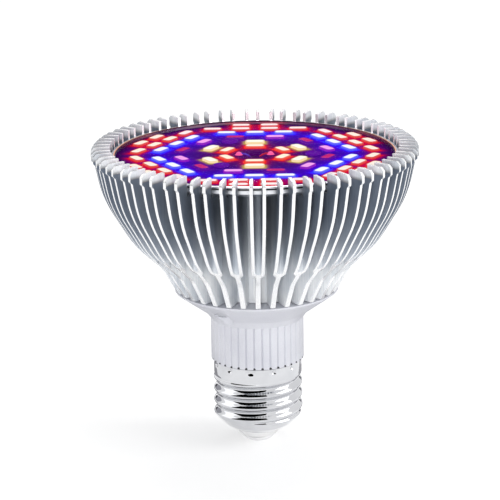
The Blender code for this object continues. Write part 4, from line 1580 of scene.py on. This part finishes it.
    def build(self) -> None:
        """Models the cap and puts it in place of its solids."""
        seat(self.insulator(), "pale_insulator", "base_insulator")
        seat(self.button(), "contact_metal", "centre_contact")
        seat(self.shell(), "nickel_plate", "screw_shell")


# ---------------------------------------------------------------- solids that keep their shape


@dataclass
class KeptSolids:
    """Screws, wires and driver parts whose solids are right as they are and only take their finish."""

    finishes: dict[str, Finish] = field(
        default_factory=lambda: {
            "board_screw": Finishes.lit_steel,
            "housing_screw": Finishes.steel,
            "driver_board": Finishes.laminate,
            "transformer_core": Finishes.ferrite,
            "transformer_winding": Finishes.tape,
            "choke": Finishes.ferrite,
            "input_capacitor": Finishes.sleeve,
            "output_capacitor": Finishes.sleeve,
            "film_capacitor": Finishes.film,
            "fuse_resistor": Finishes.enamel,
            "bridge_rectifier": Finishes.epoxy,
            "driver_chip": Finishes.epoxy,
            "output_diode": Finishes.epoxy,
            "live_wire": Finishes.wire_black,
            "neutral_wire": Finishes.wire_white,
            "led_lead_positive": Finishes.wire_red,
            "led_lead_negative": Finishes.wire_blue,
        }
    )

    def build(self) -> None:
        """Gives each kept solid its finish."""
        for name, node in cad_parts.items():
            finish = next((known for stem, known in self.finishes.items() if name.startswith(stem)), None)
            if finish is None:
                continue
            for slot in node.material_slots:
                slot.material = finish.material()
            LOG.info("%s: %s", name, finish.name)


# ---------------------------------------------------------------- studio


@dataclass(frozen=True)
class Card:
    """A matt card that only metal and glass mirror. It faces the bulb or lies on the floor."""

    name: str
    place: Triple
    size: Point
    code: str
    lying: bool = False


@dataclass(frozen=True)
class SoftBox:
    """A square light that looks at the bulb, in watts, with or without a reflection in metal."""

    name: str
    place: Triple
    size: float
    power: float
    mirrored: bool = True


@dataclass
class Studio:
    """Floor, lights, cards for the metal to mirror, and the camera."""

    aim: Vector = field(default_factory=lambda: Vector((-1.81 * MM, 0, 58.3 * MM)))
    distance: float = 649.5 * MM
    elevation: float = math.radians(16.03)
    roll: float = math.radians(-0.87)
    turn: float = math.radians(-0.62)
    lens: float = 159.12
    sensor: float = 36.0
    ambient: float = 0.45
    floor_lift: float = 0.36
    floor_size: float = 12.0
    floor_drop: float = 0.02 * MM
    glow_height: float = 115.0 * MM
    glow_radius: float = 10.0 * MM
    glow_power: float = 0.06
    glow_color: str = "ffe6ee"
    boxes: tuple[SoftBox, ...] = (
        SoftBox("key", (1.3, -0.35, 0.8), 1.0, 8.0),
        SoftBox("fill", (-1.3, 0.15, 0.7), 1.0, 1.8),
        SoftBox("front", (-0.15, -1.3, 0.16), 0.3, 7.5, mirrored=False),
        SoftBox("top", (0.1, 0.5, 1.5), 1.0, 6.0),
    )
    cards: tuple[Card, ...] = (
        Card("front_card", (-0.48, -0.94, 1.10), (2.3, 2.2), "030303"),
        Card("left_card", (-0.37, 1.14, 0.25), (0.60, 0.9), "4c4c52"),
        Card("left_pale_card", (-0.75, 0.95, 0.25), (0.50, 0.9), "a8a8ae"),
        Card("right_card", (0.37, 1.14, 0.25), (0.55, 0.9), "78787e"),
        Card("left_floor_card", (-0.033, 0.055, 0.5 * MM), (0.045, 0.08), "a2a2a6", lying=True),
        Card("right_floor_card", (0.033, 0.055, 0.5 * MM), (0.045, 0.08), "b4b4b8", lying=True),
    )

    def world(self) -> None:
        """White to the eye, to metal and through glass, and a softer grey as light."""
        world = bpy.data.worlds.new("studio")
        bpy.context.scene.world = world
        world.use_nodes = True
        tree = world.node_tree
        tree.nodes.clear()
        soft, white = (
            add_node(tree, "Background", {"Color": linear("ffffff"), "Strength": strength}).outputs[0]
            for strength in (self.ambient, 1.0)
        )
        seen = for_rays(tree, "Is Camera Ray", "Is Glossy Ray", "Is Transmission Ray")
        mix = add_node(tree, "MixShader", {0: seen, 1: soft, 2: white})
        add_node(tree, "OutputWorld", {"Surface": mix.outputs["Shader"]})

    def sheet(self, name: str, place: Triple, size: Point) -> tuple[Object, NodeTree]:
        """A flat sheet of studio paper that isn't part of the bulb.

        Args:
            name: Name of the sheet.
            place: Its middle.
            size: Its width and length.

        Returns:
            The sheet and its material's nodes.
        """
        deselect()
        bpy.ops.mesh.primitive_plane_add(size=1, location=place)
        obj = bpy.context.object
        obj.name = name
        obj.scale = (*size, 1)
        material = bpy.data.materials.new(f"{name} paper")
        material.use_nodes = True
        obj.data.materials.append(material)
        return obj, material.node_tree

    def floor(self) -> None:
        """A pale sheet under the bulb, as bright as the background but for the bulb's shadow."""
        _, tree = self.sheet("floor", (0, 0, -self.floor_drop), (self.floor_size, self.floor_size))
        shader = tree.nodes["Principled BSDF"]
        matt = {"Base Color": linear("f4f4f4"), "Roughness": 0.9, "Specular IOR Level": 0.0}
        for name, value in matt.items():
            shader.inputs[name].default_value = value
        paper = shader.outputs["BSDF"]
        lift = add_node(tree, "Emission", {"Color": linear("ffffff"), "Strength": self.floor_lift})
        both = add_node(tree, "AddShader", {0: paper, 1: lift.outputs["Emission"]})
        seen = for_rays(tree, "Is Camera Ray", "Is Glossy Ray")
        mix = add_node(tree, "MixShader", {0: seen, 1: paper, 2: both.outputs["Shader"]})
        tree.links.new(mix.outputs["Shader"], tree.nodes["Material Output"].inputs["Surface"])

    def card(self, card: Card) -> None:
        """Puts up one card.

        Args:
            card: Its place, size and colour.
        """
        obj, tree = self.sheet(card.name, card.place, card.size)
        if not card.lying:
            towards = Vector((0, 0, card.place[2])) - Vector(card.place)
            obj.rotation_euler = towards.to_track_quat("Z", "Y").to_euler()
        tree.nodes.clear()
        flat = add_node(tree, "Emission", {"Color": linear(card.code), "Strength": 1.0})
        add_node(tree, "OutputMaterial", {"Surface": flat.outputs["Emission"]})
        obj.visible_camera = False
        obj.visible_diffuse = False
        obj.visible_shadow = False

    def hang(self, name: str, kind: str, place: Triple, power: float) -> Object:
        """A light in its place.

        Args:
            name: Name of the light.
            kind: AREA or POINT.
            place: Where it hangs.
            power: Watts.

        Returns:
            The light's object.
        """
        light = bpy.data.lights.new(name, kind)
        light.energy = power
        obj = bpy.data.objects.new(name, light)
        bpy.context.scene.collection.objects.link(obj)
        obj.location = place
        return obj

    def soft_box(self, box: SoftBox) -> None:
        """Hangs one soft box.

        Args:
            box: Its place, size and power.
        """
        obj = self.hang(box.name, "AREA", box.place, box.power)
        obj.data.size = box.size
        obj.rotation_euler = (self.aim - Vector(box.place)).to_track_quat("-Z", "Y").to_euler()
        obj.visible_glossy = box.mirrored

    def glow(self) -> None:
        """The bulb's own light over its face, which tints the tips of the fins."""
        obj = self.hang("glow", "POINT", (0, 0, self.glow_height), self.glow_power)
        obj.data.shadow_soft_size = self.glow_radius
        obj.data.color = linear(self.glow_color)[:3]

    def camera(self) -> None:
        """The photograph's camera: a long lens a little above the bulb."""
        back = Vector((0, -math.cos(self.elevation), math.sin(self.elevation)))
        right = Vector((1, 0, 0))
        up = back.cross(right)
        tilt_right = math.cos(self.roll) * right + math.sin(self.roll) * up
        tilt_up = -math.sin(self.roll) * right + math.cos(self.roll) * up
        place = self.aim + back * self.distance
        data = bpy.data.cameras.new("camera")
        data.lens = self.lens
        data.sensor_width = self.sensor
        data.clip_start = 10 * MM
        camera = bpy.data.objects.new("camera", data)
        bpy.context.scene.collection.objects.link(camera)
        axes = Matrix((tilt_right, tilt_up, back)).transposed().to_4x4()
        camera.matrix_world = Matrix.Rotation(self.turn, 4, "Z") @ Matrix.Translation(place) @ axes
        bpy.context.scene.camera = camera

    def build(self) -> None:
        """Sets up the whole studio."""
        bpy.context.scene.view_settings.view_transform = "Standard"
        self.world()
        self.floor()
        for box in self.boxes:
            self.soft_box(box)
        self.glow()
        for card in self.cards:
            self.card(card)
        self.camera()


def main() -> None:
    """Builds every sub-assembly in order and reports it."""
    logging.basicConfig(level=logging.INFO, format="%(name)s: %(message)s", stream=sys.stdout)
    levels = Levels()
    for kind in (HeatSink, Tray, LampBoard, Cover, DriverHousing, ScrewCap):
        kind(levels).build()
    KeptSolids().build()
    Studio().build()
    deselect()


if __name__ == "__main__":
    main()
